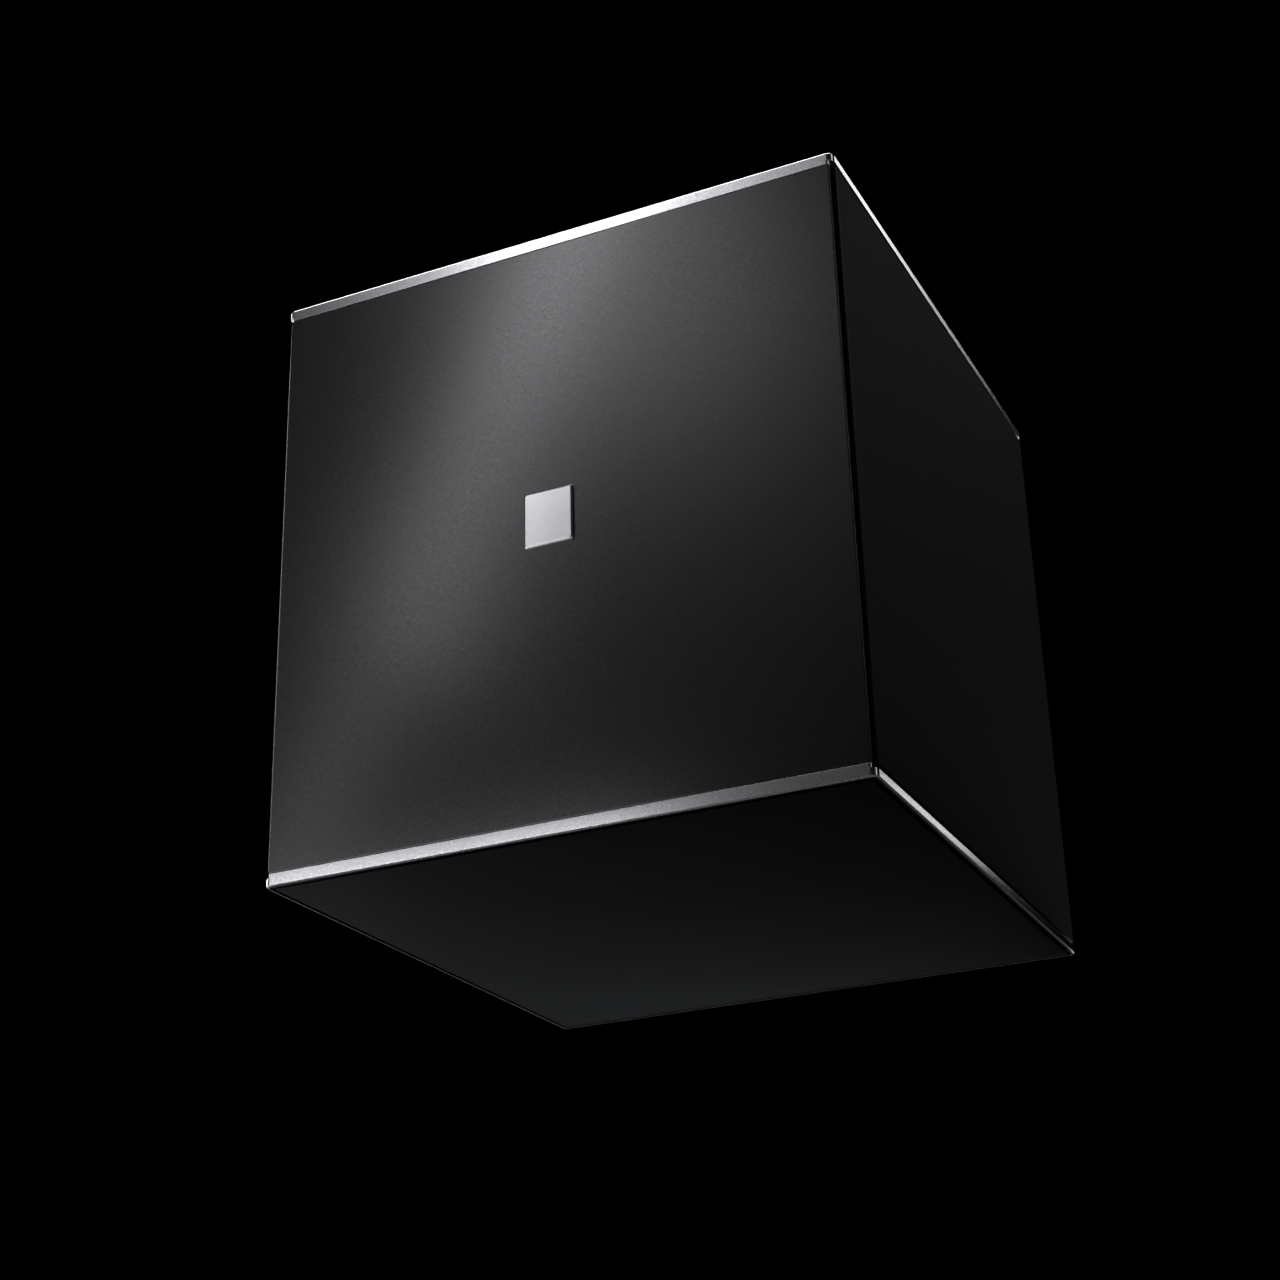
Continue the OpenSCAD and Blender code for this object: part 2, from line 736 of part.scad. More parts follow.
module control_board() {
  color("darkgreen") at_plate(0, pot_y) difference() {
    box_at(2 * pot_x + 22, 26, board_t, control_board_z - board_t - 0.02);
    translate([0, 0, control_board_z - 5]) cylinder(10, r = 1);
  }
}

module pot_bodies() {
  color("slategray") for (x = [-pot_x, pot_x]) at_plate(x, pot_y) difference() {
    union() {
      translate([0, 0, control_board_z]) cylinder(pot_body_t - 0.02, r = pot_body_r);
      translate([0, 0, plate_back - 1]) cylinder(bush_len + plate_t + 1, r = bush_r);
    }
    translate([0, 0, control_board_z + 1.5]) cylinder(60, r = shaft_r + shaft_fit);
  }
}

module pot_nuts() {
  color("silver") for (x = [-pot_x, pot_x]) at_plate(x, pot_y) difference() {
    translate([0, 0, 0.02]) cylinder(nut_t, r = nut_r, $fn = 6);
    translate([0, 0, -1]) cylinder(10, r = bush_r + 0.02);
  }
}

module pot_shaft(x) {
  color("silver") at_plate(x, pot_y) {
    translate([0, 0, control_board_z + 2]) cylinder(bush_len + knob_gap - control_board_z + 6, r = shaft_r);
  }
}

module knob(x) {
  color([0.06, 0.06, 0.065]) at_plate(x, pot_y) difference() {
    union() {
      translate([0, 0, bush_len + knob_gap]) rotate_extrude() polygon([
        [0, 0], [knob_r, 0], [knob_r, 2], [knob_r - 0.6, 2.6],
        [knob_r - 0.9, knob_len - 1], [knob_r - 1.9, knob_len], [0, knob_len]
      ]);
      translate([0, 0, bush_len + knob_gap - 4.2]) tube(knob_r, knob_r - 1.6, 4.4);
    }
    translate([0, 0, -1]) cylinder(bush_len + knob_gap + 9.2, r = shaft_r + 0.02);
    translate([-0.5, knob_r - 5, bush_len + knob_gap + knob_len - 0.6]) cube([1, 6, 2]);
  }
}

module gain_shaft() pot_shaft(-pot_x);
module gain_knob() knob(-pot_x);
module crossover_shaft() pot_shaft(pot_x);
module crossover_knob() knob(pot_x);

module switch_body(x) {
  w = 2 * nub + switch_travel + 6;
  color("silver") at_plate(x, switch_y) difference() {
    box_at(w, nub + 6, 7, plate_back - 7.02);
    box_at(nub + switch_travel + 2 * slot_gap, nub + 2 * slot_gap, 7, plate_back - slide_floor);
  }
}

module switch_nub(x) {
  color([0.05, 0.05, 0.05]) at_plate(x, switch_y) translate([-switch_travel / 2, 0, 0]) difference() {
    box_at(nub, nub, slide_floor + plate_t + 2.2, plate_back - slide_floor + 0.05);
    for (s = [-1, 0, 1]) translate([s * 1.1 - 0.2, -nub, 1.8]) cube([0.4, 2 * nub, 2]);
  }
}

module phase_switch_body() switch_body(-pot_x);
module phase_slider() switch_nub(-pot_x);
module mode_switch_body() switch_body(pot_x);
module mode_slider() switch_nub(pot_x);

module phono_sockets() {
  color("gold") for (x = phono_x) at_plate(x, phono_y) {
    tube(phono_r, phono_bore, phono_len + plate_t + 1, plate_back - 1);
    tube(phono_r + 1.8, phono_bore, 2, plate_back - 2.02);
    tube(phono_r + 2, phono_bore, phono_collar - 0.02, 0.02);
  }
}

module phono_insulators() {
  for (i = [0 : len(phono_x) - 1])
    color(["white", "firebrick", "black"][i]) at_plate(phono_x[i], phono_y)
      tube(phono_bore - 0.02, 1.65, phono_len + plate_t + 6, plate_back - 6);
}

module mains_inlet() {
  color([0.05, 0.05, 0.05]) at_plate(inlet_x, inlet_y) difference() {
    union() {
      box_at(inlet_w, inlet_h, inlet_deep + 3, -inlet_deep);
      translate([0, 0, 0.02]) linear_extrude(2.98) plan_rect(flange_w, flange_h, 4);
    }
    box_at(socket_w, socket_h, socket_deep + 4, 3 - socket_deep);
    for (x = [-1, 1]) translate([x * 20, 0, -1]) cylinder(5, r = 1.7);
    for (x = [-7, 0, 7]) translate([x, x == 0 ? 2 : -2, -inlet_deep - 1])
      box_at(2.04, 4.04, 12);
  }
}

module mains_pins() {
  color("silver") at_plate(inlet_x, inlet_y) for (x = [-7, 0, 7])
    translate([x, x == 0 ? 2 : -2, 0]) box_at(2, 4, inlet_deep + 6, -inlet_deep - 6);
}

module inlet_screws() {
  color("dimgray") at_plate(inlet_x, inlet_y) for (x = [-1, 1])
    translate([x * 20, 0, 3.02]) pan_head_screw(1.5, 10, 2.8, 1.6);
}

module rocker_frame() {
  color([0.04, 0.04, 0.04]) at_plate(rocker_x, inlet_y) difference() {
    union() {
      box_at(rocker_w + 3, rocker_h + 3, 15, -14);
      translate([0, 0, 0.02]) linear_extrude(1.5) plan_rect(rocker_w + 7, rocker_h + 7, 1.2);
    }
    box_at(rocker_w, rocker_h, 20, -10);
    for (s = [-1, 1]) translate([s * (rocker_w / 2 + 0.7), 0, rocker_pivot]) rotate([0, 90, 0])
      cylinder(1.6, r = 1.25, center = true);
  }
}

// The rocker is shown pressed to its off side, tilted about its pivot.
module rocker_button() {
  w = rocker_w - 0.6;
  half = rocker_h / 2 - 1.1;
  color([0.03, 0.03, 0.03]) at_plate(rocker_x, inlet_y) translate([0, 0, rocker_pivot])
    rotate([rocker_tilt, 0, 0]) {
      rotate([90, 0, 90]) linear_extrude(w, center = true) polygon([
        [-half, -4.5], [half, -4.5], [half, 4.6], [half * 0.5, 3.6], [0, 3.2],
        [-half * 0.5, 3.6], [-half, 4.6]
      ]);
      rotate([0, 90, 0]) cylinder(rocker_w + 2.2, r = 1.2, center = true);
    }
}

module indicator_lens() {
  color("royalblue") at_plate(0, pot_y) {
    translate([0, 0, control_board_z - 0.01]) cylinder(pot_body_t + plate_t + 0.3, r = 2.5);
    translate([0, 0, 0.29]) intersection() {
      sphere(2.5);
      cylinder(5, r = 3);
    }
  }
}

top_band();
bottom_band();
top_panel();
bottom_panel();
left_side_panel();
right_side_panel();
rear_panel();
front_baffle();
window_brace();
corner_battens();
damping_pads();
grille_cups();
driver_gasket();
driver_basket();
driver_screws();
top_plate();
magnet_ring();
t_yoke();
terminal_block();
driver_leads();
spider();
surround();
cone();
dust_cap();
voice_coil_former();
voice_coil_winding();
amp_plate();
amp_gasket();
amp_screws();
heatsink();
board_standoffs();
main_board();
power_transformer();
transformer_bolt();
capacitors();
control_board();
pot_bodies();
pot_nuts();
gain_shaft();
gain_knob();
crossover_shaft();
crossover_knob();
phase_switch_body();
phase_slider();
mode_switch_body();
mode_slider();
phono_sockets();
phono_insulators();
mains_inlet();
mains_pins();
inlet_screws();
rocker_frame();
rocker_button();
indicator_lens();
grille_frame();
grille_cloth();
grille_pegs();
badge_plate();
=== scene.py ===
import json
import math

import bmesh
import bpy
import numpy as np
from mathutils import Matrix, Vector


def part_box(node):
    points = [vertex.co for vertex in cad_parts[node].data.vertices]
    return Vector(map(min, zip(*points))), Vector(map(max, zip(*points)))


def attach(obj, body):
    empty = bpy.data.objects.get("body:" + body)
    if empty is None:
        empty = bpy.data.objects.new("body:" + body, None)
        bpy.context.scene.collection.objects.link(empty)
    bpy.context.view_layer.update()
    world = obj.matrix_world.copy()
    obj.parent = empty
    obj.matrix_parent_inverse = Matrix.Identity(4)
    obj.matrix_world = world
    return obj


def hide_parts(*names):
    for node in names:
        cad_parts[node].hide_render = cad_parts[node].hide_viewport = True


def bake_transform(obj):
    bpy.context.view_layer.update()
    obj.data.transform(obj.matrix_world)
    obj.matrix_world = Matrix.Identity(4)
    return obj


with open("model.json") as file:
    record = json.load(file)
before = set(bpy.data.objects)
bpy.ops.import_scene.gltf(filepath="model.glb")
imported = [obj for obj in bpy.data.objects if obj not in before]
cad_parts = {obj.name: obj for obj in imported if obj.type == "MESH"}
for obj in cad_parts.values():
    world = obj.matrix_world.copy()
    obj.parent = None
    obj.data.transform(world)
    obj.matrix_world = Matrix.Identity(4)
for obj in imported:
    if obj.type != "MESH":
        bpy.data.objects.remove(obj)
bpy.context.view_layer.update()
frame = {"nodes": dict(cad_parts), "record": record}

# Dresses a compact powered subwoofer. Lengths are millimetres until a mesh is made, and metres in the shaders.

MM = 0.001
NODES = frame["nodes"]
TAU = 2 * np.pi

# ---------- sizes ----------

HALF_W, FRONT, REAR, HEIGHT = 160.0, -162.0, 162.0, 332.0
AXIS_Z = 166.0
BAND_H, BAND_STRIP, BAND_R, BAND_T = 4.8, 2.2, 3.5, 6.0
LIP_W, LIP_H, LIP_R = 315.2, 317.4, 1.4
BAFFLE_FRONT, BAFFLE_BACK, PLATE_FACE = -144.8, -126.8, 161.8
BOARD_T, BOARD_FRONT, REAR_BOARD_FACE, BRACE_HALF = 15.0, -158.8, 147.0, 7.5
KNOB_X, KNOB_Y = 45.0, 92.0
PHONO_X, PHONO_Y = (27, 45, 63), 22
PRINT_LIFT = 0.03
CENTRE_Z = AXIS_Z * MM


# ---------- shader graphs ----------


class Wire:
    """One socket of a shader graph. Arithmetic on it adds Math nodes, and add() adds any other node."""

    def __init__(self, tree, socket=None):
        self.tree, self.socket = tree, socket

    def add(self, kind, inputs=(), out=0, **settings):
        """A new node of this kind: its settings, then the values or links of its sockets. Gives its output out."""
        node = self.tree.nodes.new(kind)
        for key, value in settings.items():
            setattr(node, key, value)
        for key, value in dict(inputs).items():
            if isinstance(value, Wire):
                self.tree.links.new(value.socket, node.inputs[key])
            else:
                node.inputs[key].default_value = value
        return Wire(self.tree, node.outputs[out])

    def math(self, operation, *values):
        """A Math node over these values, each a number or a Wire."""
        return self.add("ShaderNodeMath", dict(enumerate(values)), operation=operation)

    def __add__(self, other):
        return self.math("ADD", self, other)

    def __sub__(self, other):
        return self.math("SUBTRACT", self, other)

    def __mul__(self, other):
        return self.math("MULTIPLY", self, other)

    def __rsub__(self, other):
        return self.math("SUBTRACT", other, self)

    def __gt__(self, other):
        return self.math("GREATER_THAN", self, other)

    def __lt__(self, other):
        return self.math("LESS_THAN", self, other)

    def __abs__(self):
        return self.math("ABSOLUTE", self)

    def sine(self):
        return self.math("SINE", self)

    def fraction(self):
        return self.math("FRACT", self)

    def root(self):
        return self.math("SQRT", self)

    def at_most(self, limit):
        return self.math("MINIMUM", self, limit)

    def axes(self):
        """The three parts of a vector."""
        split = self.add("ShaderNodeSeparateXYZ", {0: self})
        node = split.socket.node
        return [Wire(self.tree, node.outputs[i]) for i in range(3)]

    def spread(self, low, high, to_low=0.0, to_high=1.0):
        """A value between low and high, moved to between to_low and to_high and held there."""
        return self.add(
            "ShaderNodeMapRange", {0: self, 1: low, 2: high, 3: to_low, 4: to_high}, clamp=True
        )

    def noise(self, scale, detail=3.0, rough=0.5, stretch=(1, 1, 1)):
        """Noise over this vector, scale cells to the metre, stretched along its axes."""
        placed = self.add("ShaderNodeMapping", {"Vector": self, "Scale": tuple(scale * s for s in stretch)})
        return placed.add(
            "ShaderNodeTexNoise", {"Vector": placed, "Scale": 1.0, "Detail": detail, "Roughness": rough}
        )

    def tint(self, low, high):
        """A colour between low and high by this value."""
        return self.add(
            "ShaderNodeMix", {0: self, 6: (*low, 1), 7: (*high, 1)}, out=2, data_type="RGBA"
        )

    def over(self, under, colour):
        """colour laid over under where this mask is 1."""
        inputs = {0: self, 6: under, 7: colour if isinstance(colour, Wire) else (*colour, 1)}
        return self.add("ShaderNodeMix", inputs, out=2, data_type="RGBA")

    def bump(self, height, strength, normal=None):
        """A surface normal: this value as a relief of height millimetres, laid over another normal if one is given."""
        inputs = {"Height": self, "Distance": height * MM, "Strength": strength}
        if normal:
            inputs["Normal"] = normal
        return self.add("ShaderNodeBump", inputs)


def new_paint(name):
    """An empty material, its shader node, and a Wire to start its graph from."""
    made = bpy.data.materials.new(name)
    made.use_nodes = True
    shader = next(n for n in made.node_tree.nodes if n.type == "BSDF_PRINCIPLED")
    return made, shader, Wire(made.node_tree)


def material(name, build, **constants):
    """A material whose varying sockets come from build(place, uv), with its constants on the shader's own sockets."""
    made, shader, start = new_paint(name)
    place = start.add("ShaderNodeTexCoord", out="Object")
    uv = Wire(start.tree, place.socket.node.outputs["UV"])
    for key, value in build(place, uv).items():
        start.tree.links.new(value.socket, shader.inputs[key])
    for key, value in constants.items():
        shader.inputs[key.replace("_", " ")].default_value = value
    return made


def mottled(name, dark, light, rough, grain, fine, bump, **constants):
    """A general worked surface: coarse and fine noise mix its colour and roughness, and the fine one is its relief."""

    def build(place, uv):
        broad = place.noise(grain * 0.12, 4, 0.55)
        small = place.noise(fine, 3, 0.6)
        tone = (broad * 0.6 + small * 0.4).spread(0.3, 0.7)
        return {
            "Base Color": tone.tint(dark, light),
            "Roughness": tone.spread(0, 1, rough[0], rough[1]),
            "Normal": small.bump(bump, 0.6, place.noise(grain, 3).bump(bump * 2, 0.5)),
        }

    return material(name, build, **constants)


def grey(level, blue=1.0):
    return (level, level, level * blue)


# ---------- finishes ----------


def knitted_cloth():
    """Fine stretched cloth: short uneven threads along both directions of the weave, each a ridge with its own tone."""

    def build(place, uv):
        threads_per_metre = 1650
        warp = uv.noise(threads_per_metre, 1, 0.5, (1, 0.24, 1))
        weft = uv.noise(threads_per_metre, 1, 0.5, (0.2, 1, 1))
        cloud = uv.noise(60, 2, 0.5)
        threads = warp * 0.45 + weft * 0.55
        tone = (threads * 0.94 + cloud * 0.06).spread(0.36, 0.64)
        return {
            "Base Color": tone.tint((0.008, 0.0082, 0.0092), (0.037, 0.0377, 0.0405)),
            "Roughness": threads.spread(0.38, 0.62, 0.29, 0.24),
            "Normal": threads.bump(0.03, 0.5),
        }

    return material("stretched black cloth", build, Specular_IOR_Level=0.78)


def blasted_band():
    """Bead-blasted anodised aluminium: a sandy speckle of pits over a slow haze, smoother flanks, and painted shade: a
    near-black foot where the bottom band meets the bottom panel.
    """

    def build(place, uv):
        pits = place.noise(800, 2, 0.6)
        sand = place.noise(2000, 1, 0.5)
        haze = place.noise(26, 3)
        grain = pits * 0.6 + sand * 0.4
        x, y, z = place.axes()
        flank = abs(x) > HALF_W * MM - 0.0005
        # painted shade: below 0.3 mm the bottom band turns near-black, standing in for the shaded line where it meets
        # the bottom panel
        foot = z < 0.0003
        tone = (grain * 0.85 + haze * 0.15).spread(0.34, 0.66)
        bright = tone.tint((0.6, 0.605, 0.615), (0.94, 0.945, 0.955))
        return {
            # the foot mask lays the near-black painted shade over the metal's colour
            "Base Color": foot.over(bright, (0.02, 0.02, 0.022)),
            "Roughness": grain.spread(0.3, 0.7, 0.32, 0.25) - flank * 0.13,
            "Normal": (grain * (1 - flank * 0.85)).bump(0.035, 0.5),
        }

    return material("blasted aluminium", build, Metallic=1.0)


def blasted_badge():
    """Bare plate, finely blasted: a close even speckle with a soft cloud over it."""

    def build(place, uv):
        speck = place.noise(1900, 2, 0.6)
        cloud = place.noise(60, 2)
        tone = (speck * 0.8 + cloud * 0.2).spread(0.32, 0.68)
        return {
            "Base Color": tone.tint((0.66, 0.665, 0.675), (0.94, 0.945, 0.95)),
            "Roughness": speck.spread(0.3, 0.7, 0.33, 0.28),
            "Normal": speck.bump(0.012, 0.5),
        }

    return material("blasted badge plate", build, Metallic=1.0)


def satin_lacquer():
    """Rolled satin black lacquer: faint orange peel over board, more polished along the edges where it is handled."""

    def build(place, uv):
        x, y, z = place.axes()
        peel = place.noise(420, 2, 0.45)
        speck = place.noise(2600, 2, 0.5)
        cloud = place.noise(14, 3, 0.5)
        side_x, front_y, rear_y = 0.1545, -0.1565, 0.1595
        handled = (abs(x) > side_x) * ((y < front_y) + (y > rear_y))
        tone = (cloud * 0.6 + speck * 0.4).spread(0.3, 0.7)
        return {
            "Base Color": tone.tint((0.0045, 0.0047, 0.005), (0.0075, 0.0077, 0.0082)),
            "Roughness": (peel * 0.5 + cloud * 0.5).spread(0.3, 0.7, 0.62, 0.68) - handled.at_most(1.0) * 0.1,
            "Normal": speck.bump(0.01, 0.5, peel.bump(0.03, 0.35)),
        }

    return material("satin black lacquer", build, Specular_IOR_Level=0.2)


def stained_board():
    """Black-stained fibreboard: short fibres and a dry, dusty tone."""
    return mottled("black stained board", grey(0.012), grey(0.03, 0.95), (0.7, 0.9), 240, 1900, 0.08)


def raw_fibreboard():
    """Unpainted fibreboard: pressed brown fibre with darker flecks."""
    return mottled("raw fibreboard", (0.23, 0.14, 0.075), (0.42, 0.28, 0.16), (0.75, 0.95), 320, 1500, 0.12)


def moulded_plastic():
    """Spark-eroded moulded plastic: an even fine pebble."""

    def build(place, uv):
        cells = place.add("ShaderNodeTexVoronoi", {"Vector": place, "Scale": 1500}, feature="SMOOTH_F1")
        cloud = place.noise(90, 3)
        return {
            "Base Color": (cells * 0.4 + cloud * 0.6).spread(0.2, 0.8).tint(grey(0.012), grey(0.024)),
            "Roughness": cloud.spread(0.3, 0.7, 0.42, 0.56),
            "Normal": cells.bump(0.05, 0.5),
        }

    return material("black moulded plastic", build)


def powder_coat():
    """Black powder coat on the rear plate: a close, hard orange peel, thinner and shinier along the plate's rim."""

    def build(place, uv):
        x, y, z = place.axes()
        peel = place.noise(1150, 2, 0.55)
        cloud = place.noise(30, 3)
        rim_x, rim_z = 0.0985, 0.1185
        rim = ((abs(x) > rim_x) + (abs(z - CENTRE_Z) > rim_z)).at_most(1.0)
        tone = (peel * 0.5 + cloud * 0.5).spread(0.3, 0.7)
        return {
            "Base Color": tone.tint((0.014, 0.0142, 0.015), (0.026, 0.0262, 0.0275)),
            "Roughness": peel.spread(0.3, 0.7, 0.42, 0.55) - rim * 0.1,
            "Normal": peel.bump(0.07, 0.7),
        }

    return material("black powder coat", build)


def wound_copper():
    """Enamelled copper laid turn on turn along the coil's axis, which is Y."""

    def build(place, uv):
        x, y, z = place.axes()
        wire = 0.35 * MM
        turns = (y * (TAU / wire)).sine()
        cloud = place.noise(200, 2)
        return {
            "Base Color": (turns * 0.25 + cloud * 0.75).tint((0.42, 0.13, 0.045), (0.72, 0.3, 0.13)),
            "Roughness": cloud.spread(0.3, 0.7, 0.2, 0.34),
            "Normal": turns.bump(0.06, 0.6),
        }

    return material("wound copper", build, Metallic=0.9)


def pulp_cone():
    """Pressed paper cone: fibres thrown about in the dyed pulp, over faint rings pressed round its axis."""

    def build(place, uv):
        x, y, z = place.axes()
        fibre = place.noise(900, 4, 0.7)
        long_fibre = place.noise(300, 3, 0.6, (1, 1, 0.15))
        up = z - CENTRE_Z
        radius = (x * x + up * up).root()
        ring_pitch = 4.2 * MM
        rings = (radius * (TAU / ring_pitch)).sine()
        tone = (fibre * 0.6 + long_fibre * 0.4).spread(0.3, 0.7)
        return {
            "Base Color": tone.tint((0.02, 0.02, 0.022), (0.06, 0.06, 0.064)),
            "Roughness": fibre.spread(0.3, 0.7, 0.62, 0.8),
            "Normal": (fibre + rings * 0.15).bump(0.16, 0.7),
        }

    return material("dyed pulp cone", build)


def rolled_rubber():
    """Butyl rubber with a bloom of dust and a moulded silk."""
    return mottled("butyl rubber", grey(0.012), grey(0.028), (0.5, 0.68), 160, 1700, 0.05)


def resin_weave():
    """Woven spider cloth, stiffened with resin: two thread directions over each other."""

    def build(place, uv):
        x, y, z = place.axes()
        thread_pitch = 0.9 * MM
        across, along = (x * (TAU / thread_pitch)).sine(), (z * (TAU / thread_pitch)).sine()
        weave = across * along
        cloud = place.noise(120, 3)
        tone = (weave * 0.3 + cloud * 0.7).spread(0.15, 0.85)
        return {
            "Base Color": tone.tint((0.36, 0.2, 0.07), (0.62, 0.4, 0.17)),
            "Roughness": cloud.spread(0.3, 0.7, 0.55, 0.75),
            "Normal": weave.bump(0.12, 0.8),
        }

    return material("resin stiffened weave", build)


def circuit_board():
    """Green solder mask with paler tracks in square steps and small bright pads."""

    def build(place, uv):
        cells = {"Vector": place, "Scale": 210.0, "Randomness": 0.75}
        track_from, pad_to = 0.42, 0.17
        line = place.add("ShaderNodeTexVoronoi", cells, distance="CHEBYCHEV") > track_from
        pads = place.add("ShaderNodeTexVoronoi", {"Vector": place, "Scale": 330.0}) < pad_to
        base = line.tint((0.012, 0.085, 0.035), (0.03, 0.17, 0.07))
        return {
            "Base Color": pads.over(base, (0.55, 0.55, 0.56)),
            "Roughness": place.noise(300, 2).spread(0.3, 0.7, 0.3, 0.45),
            "Normal": (line + pads).bump(0.03, 0.6),
        }

    return material("green circuit board", build)


def taped_ring():
    """Polyester tape wound round the transformer ring, each lap a slanting line."""

    def build(place, uv):
        x, y, z = place.axes()
        ring_x, ring_z = -0.05, 0.094
        angle = x.math("ARCTAN2", z - ring_z, x - ring_x)
        laps = (angle * 36 + y * 90).fraction()
        cloud = place.noise(160, 3)
        return {
            "Base Color": (laps * 0.4 + cloud * 0.6).tint((0.34, 0.2, 0.02), (0.62, 0.42, 0.06)),
            "Roughness": cloud.spread(0.3, 0.7, 0.25, 0.4),
            "Normal": laps.bump(0.1, 0.6),
        }

    return material("wound tape", build)


def fluffed_wadding():
    """White polyester wadding: loose curled fibre in soft lumps."""

    def build(place, uv):
        fibre = place.noise(1300, 6, 0.75)
        lump = place.noise(90, 3, 0.6)
        tone = (fibre * 0.5 + lump * 0.5).spread(0.3, 0.7)
        return {
            "Base Color": tone.tint((0.5, 0.5, 0.48), (0.8, 0.8, 0.78)),
            "Roughness": fibre.spread(0.3, 0.7, 0.85, 1.0),
            "Normal": (fibre * 0.5 + lump).bump(1.2, 0.8),
        }

    return material("polyester wadding", build)


def pointer_knob():
    """Moulded knob with its white pointer filled in along the top of the face and down the rim."""

    def build(place, uv):
        x, y, z = place.axes()
        fine = place.noise(1500, 2)
        cloud = place.noise(120, 2)
        half_line, line_from, skirt_to = 0.00055, 0.2622, 0.1745
        pointer = (abs(abs(x) - KNOB_X * MM) < half_line) * (z > line_from) * (y > skirt_to)
        base = cloud.spread(0.3, 0.7).tint((0.014, 0.014, 0.015), (0.028, 0.028, 0.03))
        return {
            "Base Color": pointer.over(base, (0.75, 0.75, 0.73)),
            "Roughness": cloud.spread(0.3, 0.7, 0.42, 0.55),
            "Normal": fine.bump(0.04, 0.4),
        }

    return material("knob plastic", build)


def coded_inserts():
    """Socket inserts: white for the left, red for the right and black for the effects channel, told apart by X."""

    def build(place, uv):
        x, y, z = place.axes()
        cloud = place.noise(500, 2)
        right_from, effects_from = -0.036, -0.054
        white = cloud.tint((0.62, 0.62, 0.6), (0.75, 0.75, 0.73))
        red = (x < right_from).over(white, (0.42, 0.02, 0.02))
        return {
            "Base Color": (x < effects_from).over(red, (0.02, 0.02, 0.022)),
            "Roughness": cloud.spread(0.3, 0.7, 0.35, 0.5),
            "Normal": cloud.bump(0.02, 0.4),
        }

    return material("socket inserts", build)


ZINC = ((0.48, 0.49, 0.5), (0.68, 0.69, 0.7))
FOIL = ((0.55, 0.5, 0.4), (0.72, 0.67, 0.55))
SLEEVE = ((0.01, 0.015, 0.05), (0.02, 0.03, 0.09))
NICKEL = ((0.6, 0.6, 0.6), (0.74, 0.74, 0.73))
GOLD = ((0.62, 0.42, 0.13), (0.8, 0.58, 0.22))
LENS = ((0.01, 0.03, 0.16), (0.02, 0.06, 0.28))

# mottled: name, dark and light tone, roughness from and to, coarse cells, fine cells, relief
FINISHES = {
    "band_metal": blasted_band(),
    "black_lacquer": satin_lacquer(),
    "black_board": stained_board(),
    "raw_board": raw_fibreboard(),
    "wadding": fluffed_wadding(),
    "grille_cloth_black": knitted_cloth(),
    "black_plastic": moulded_plastic(),
    "knob_plastic": pointer_knob(),
    "black_rubber": rolled_rubber(),
    "foam_black": mottled("closed cell foam", grey(0.02), grey(0.045), (0.85, 0.98), 500, 1600, 0.2),
    "basket_paint": mottled("black basket paint", grey(0.012), grey(0.024), (0.38, 0.52), 180, 1500, 0.05),
    "screw_black": mottled(
        "black oxide screws", grey(0.03), grey(0.07), (0.28, 0.42), 300, 2400, 0.02, Metallic=0.85
    ),
    "zinc_steel": mottled("zinc plated steel", *ZINC, (0.26, 0.42), 120, 1300, 0.02, Metallic=1.0),
    "ferrite": mottled("sintered ferrite", grey(0.03), grey(0.065), (0.6, 0.8), 260, 2200, 0.06),
    "cone_paper": pulp_cone(),
    "spider_cloth": resin_weave(),
    "former_foil": mottled("foil former", *FOIL, (0.25, 0.4), 90, 900, 0.02, Metallic=0.8),
    "coil_copper": wound_copper(),
    "lead_sleeve": mottled("braided lead", grey(0.02), grey(0.06), (0.5, 0.7), 700, 2600, 0.12),
    "plate_paint": powder_coat(),
    "sink_anodised": mottled(
        "black anodised fins", grey(0.014), grey(0.03), (0.38, 0.5), 160, 1500, 0.02, Metallic=0.6
    ),
    "circuit_board": circuit_board(),
    "transformer_tape": taped_ring(),
    "can_sleeve": mottled("capacitor sleeve", *SLEEVE, (0.25, 0.4), 150, 1200, 0.02),
    "bright_metal": mottled("nickel plate", *NICKEL, (0.18, 0.3), 120, 1400, 0.01, Metallic=1.0),
    "socket_gold": mottled("gold flash", *GOLD, (0.18, 0.3), 150, 1500, 0.01, Metallic=1.0),
    "socket_insert": coded_inserts(),
    "lens_blue": mottled("blue indicator lens", *LENS, (0.12, 0.2), 150, 900, 0.01, Transmission_Weight=0.3),
    "badge_metal": blasted_badge(),
}
PRINT = mottled("screened print", grey(0.55), grey(0.7), (0.5, 0.65), 300, 2000, 0.01)


# ---------- mesh helpers ----------


def grid_faces(rows, cols, wrap_rows=False, wrap_cols=False):
    """Four-sided faces over rows x cols points. A wrapped side closes on its own start."""
    i = np.arange(rows if wrap_rows else rows - 1)[:, None]
    j = np.arange(cols if wrap_cols else cols - 1)[None, :]
    corner = lambda a, b: (i + a) % rows * cols + (j + b) % cols
    return np.stack([corner(0, 0), corner(0, 1), corner(1, 1), corner(1, 0)], -1).reshape(-1, 4).tolist()


def loft(rings, ends=True):
    """Rings of points, rings x points x 3, each joined to the next, with a face over each end."""
    rings = np.asarray(rings, float)
    rows, cols = rings.shape[:2]
    faces = grid_faces(rows, cols, wrap_cols=True)
    if ends:
        faces += [list(range(cols)), list(range((rows - 1) * cols, rows * cols))]
    return rings.reshape(-1, 3), faces


def joined(*parts):
    """Several (points, faces) parts as one."""
    points, faces, first = [], [], 0
    for p, f in parts:
        points.append(np.asarray(p, float).reshape(-1, 3))
        faces += [[k + first for k in face] for face in f]
        first += len(points[-1])
    return np.concatenate(points), faces


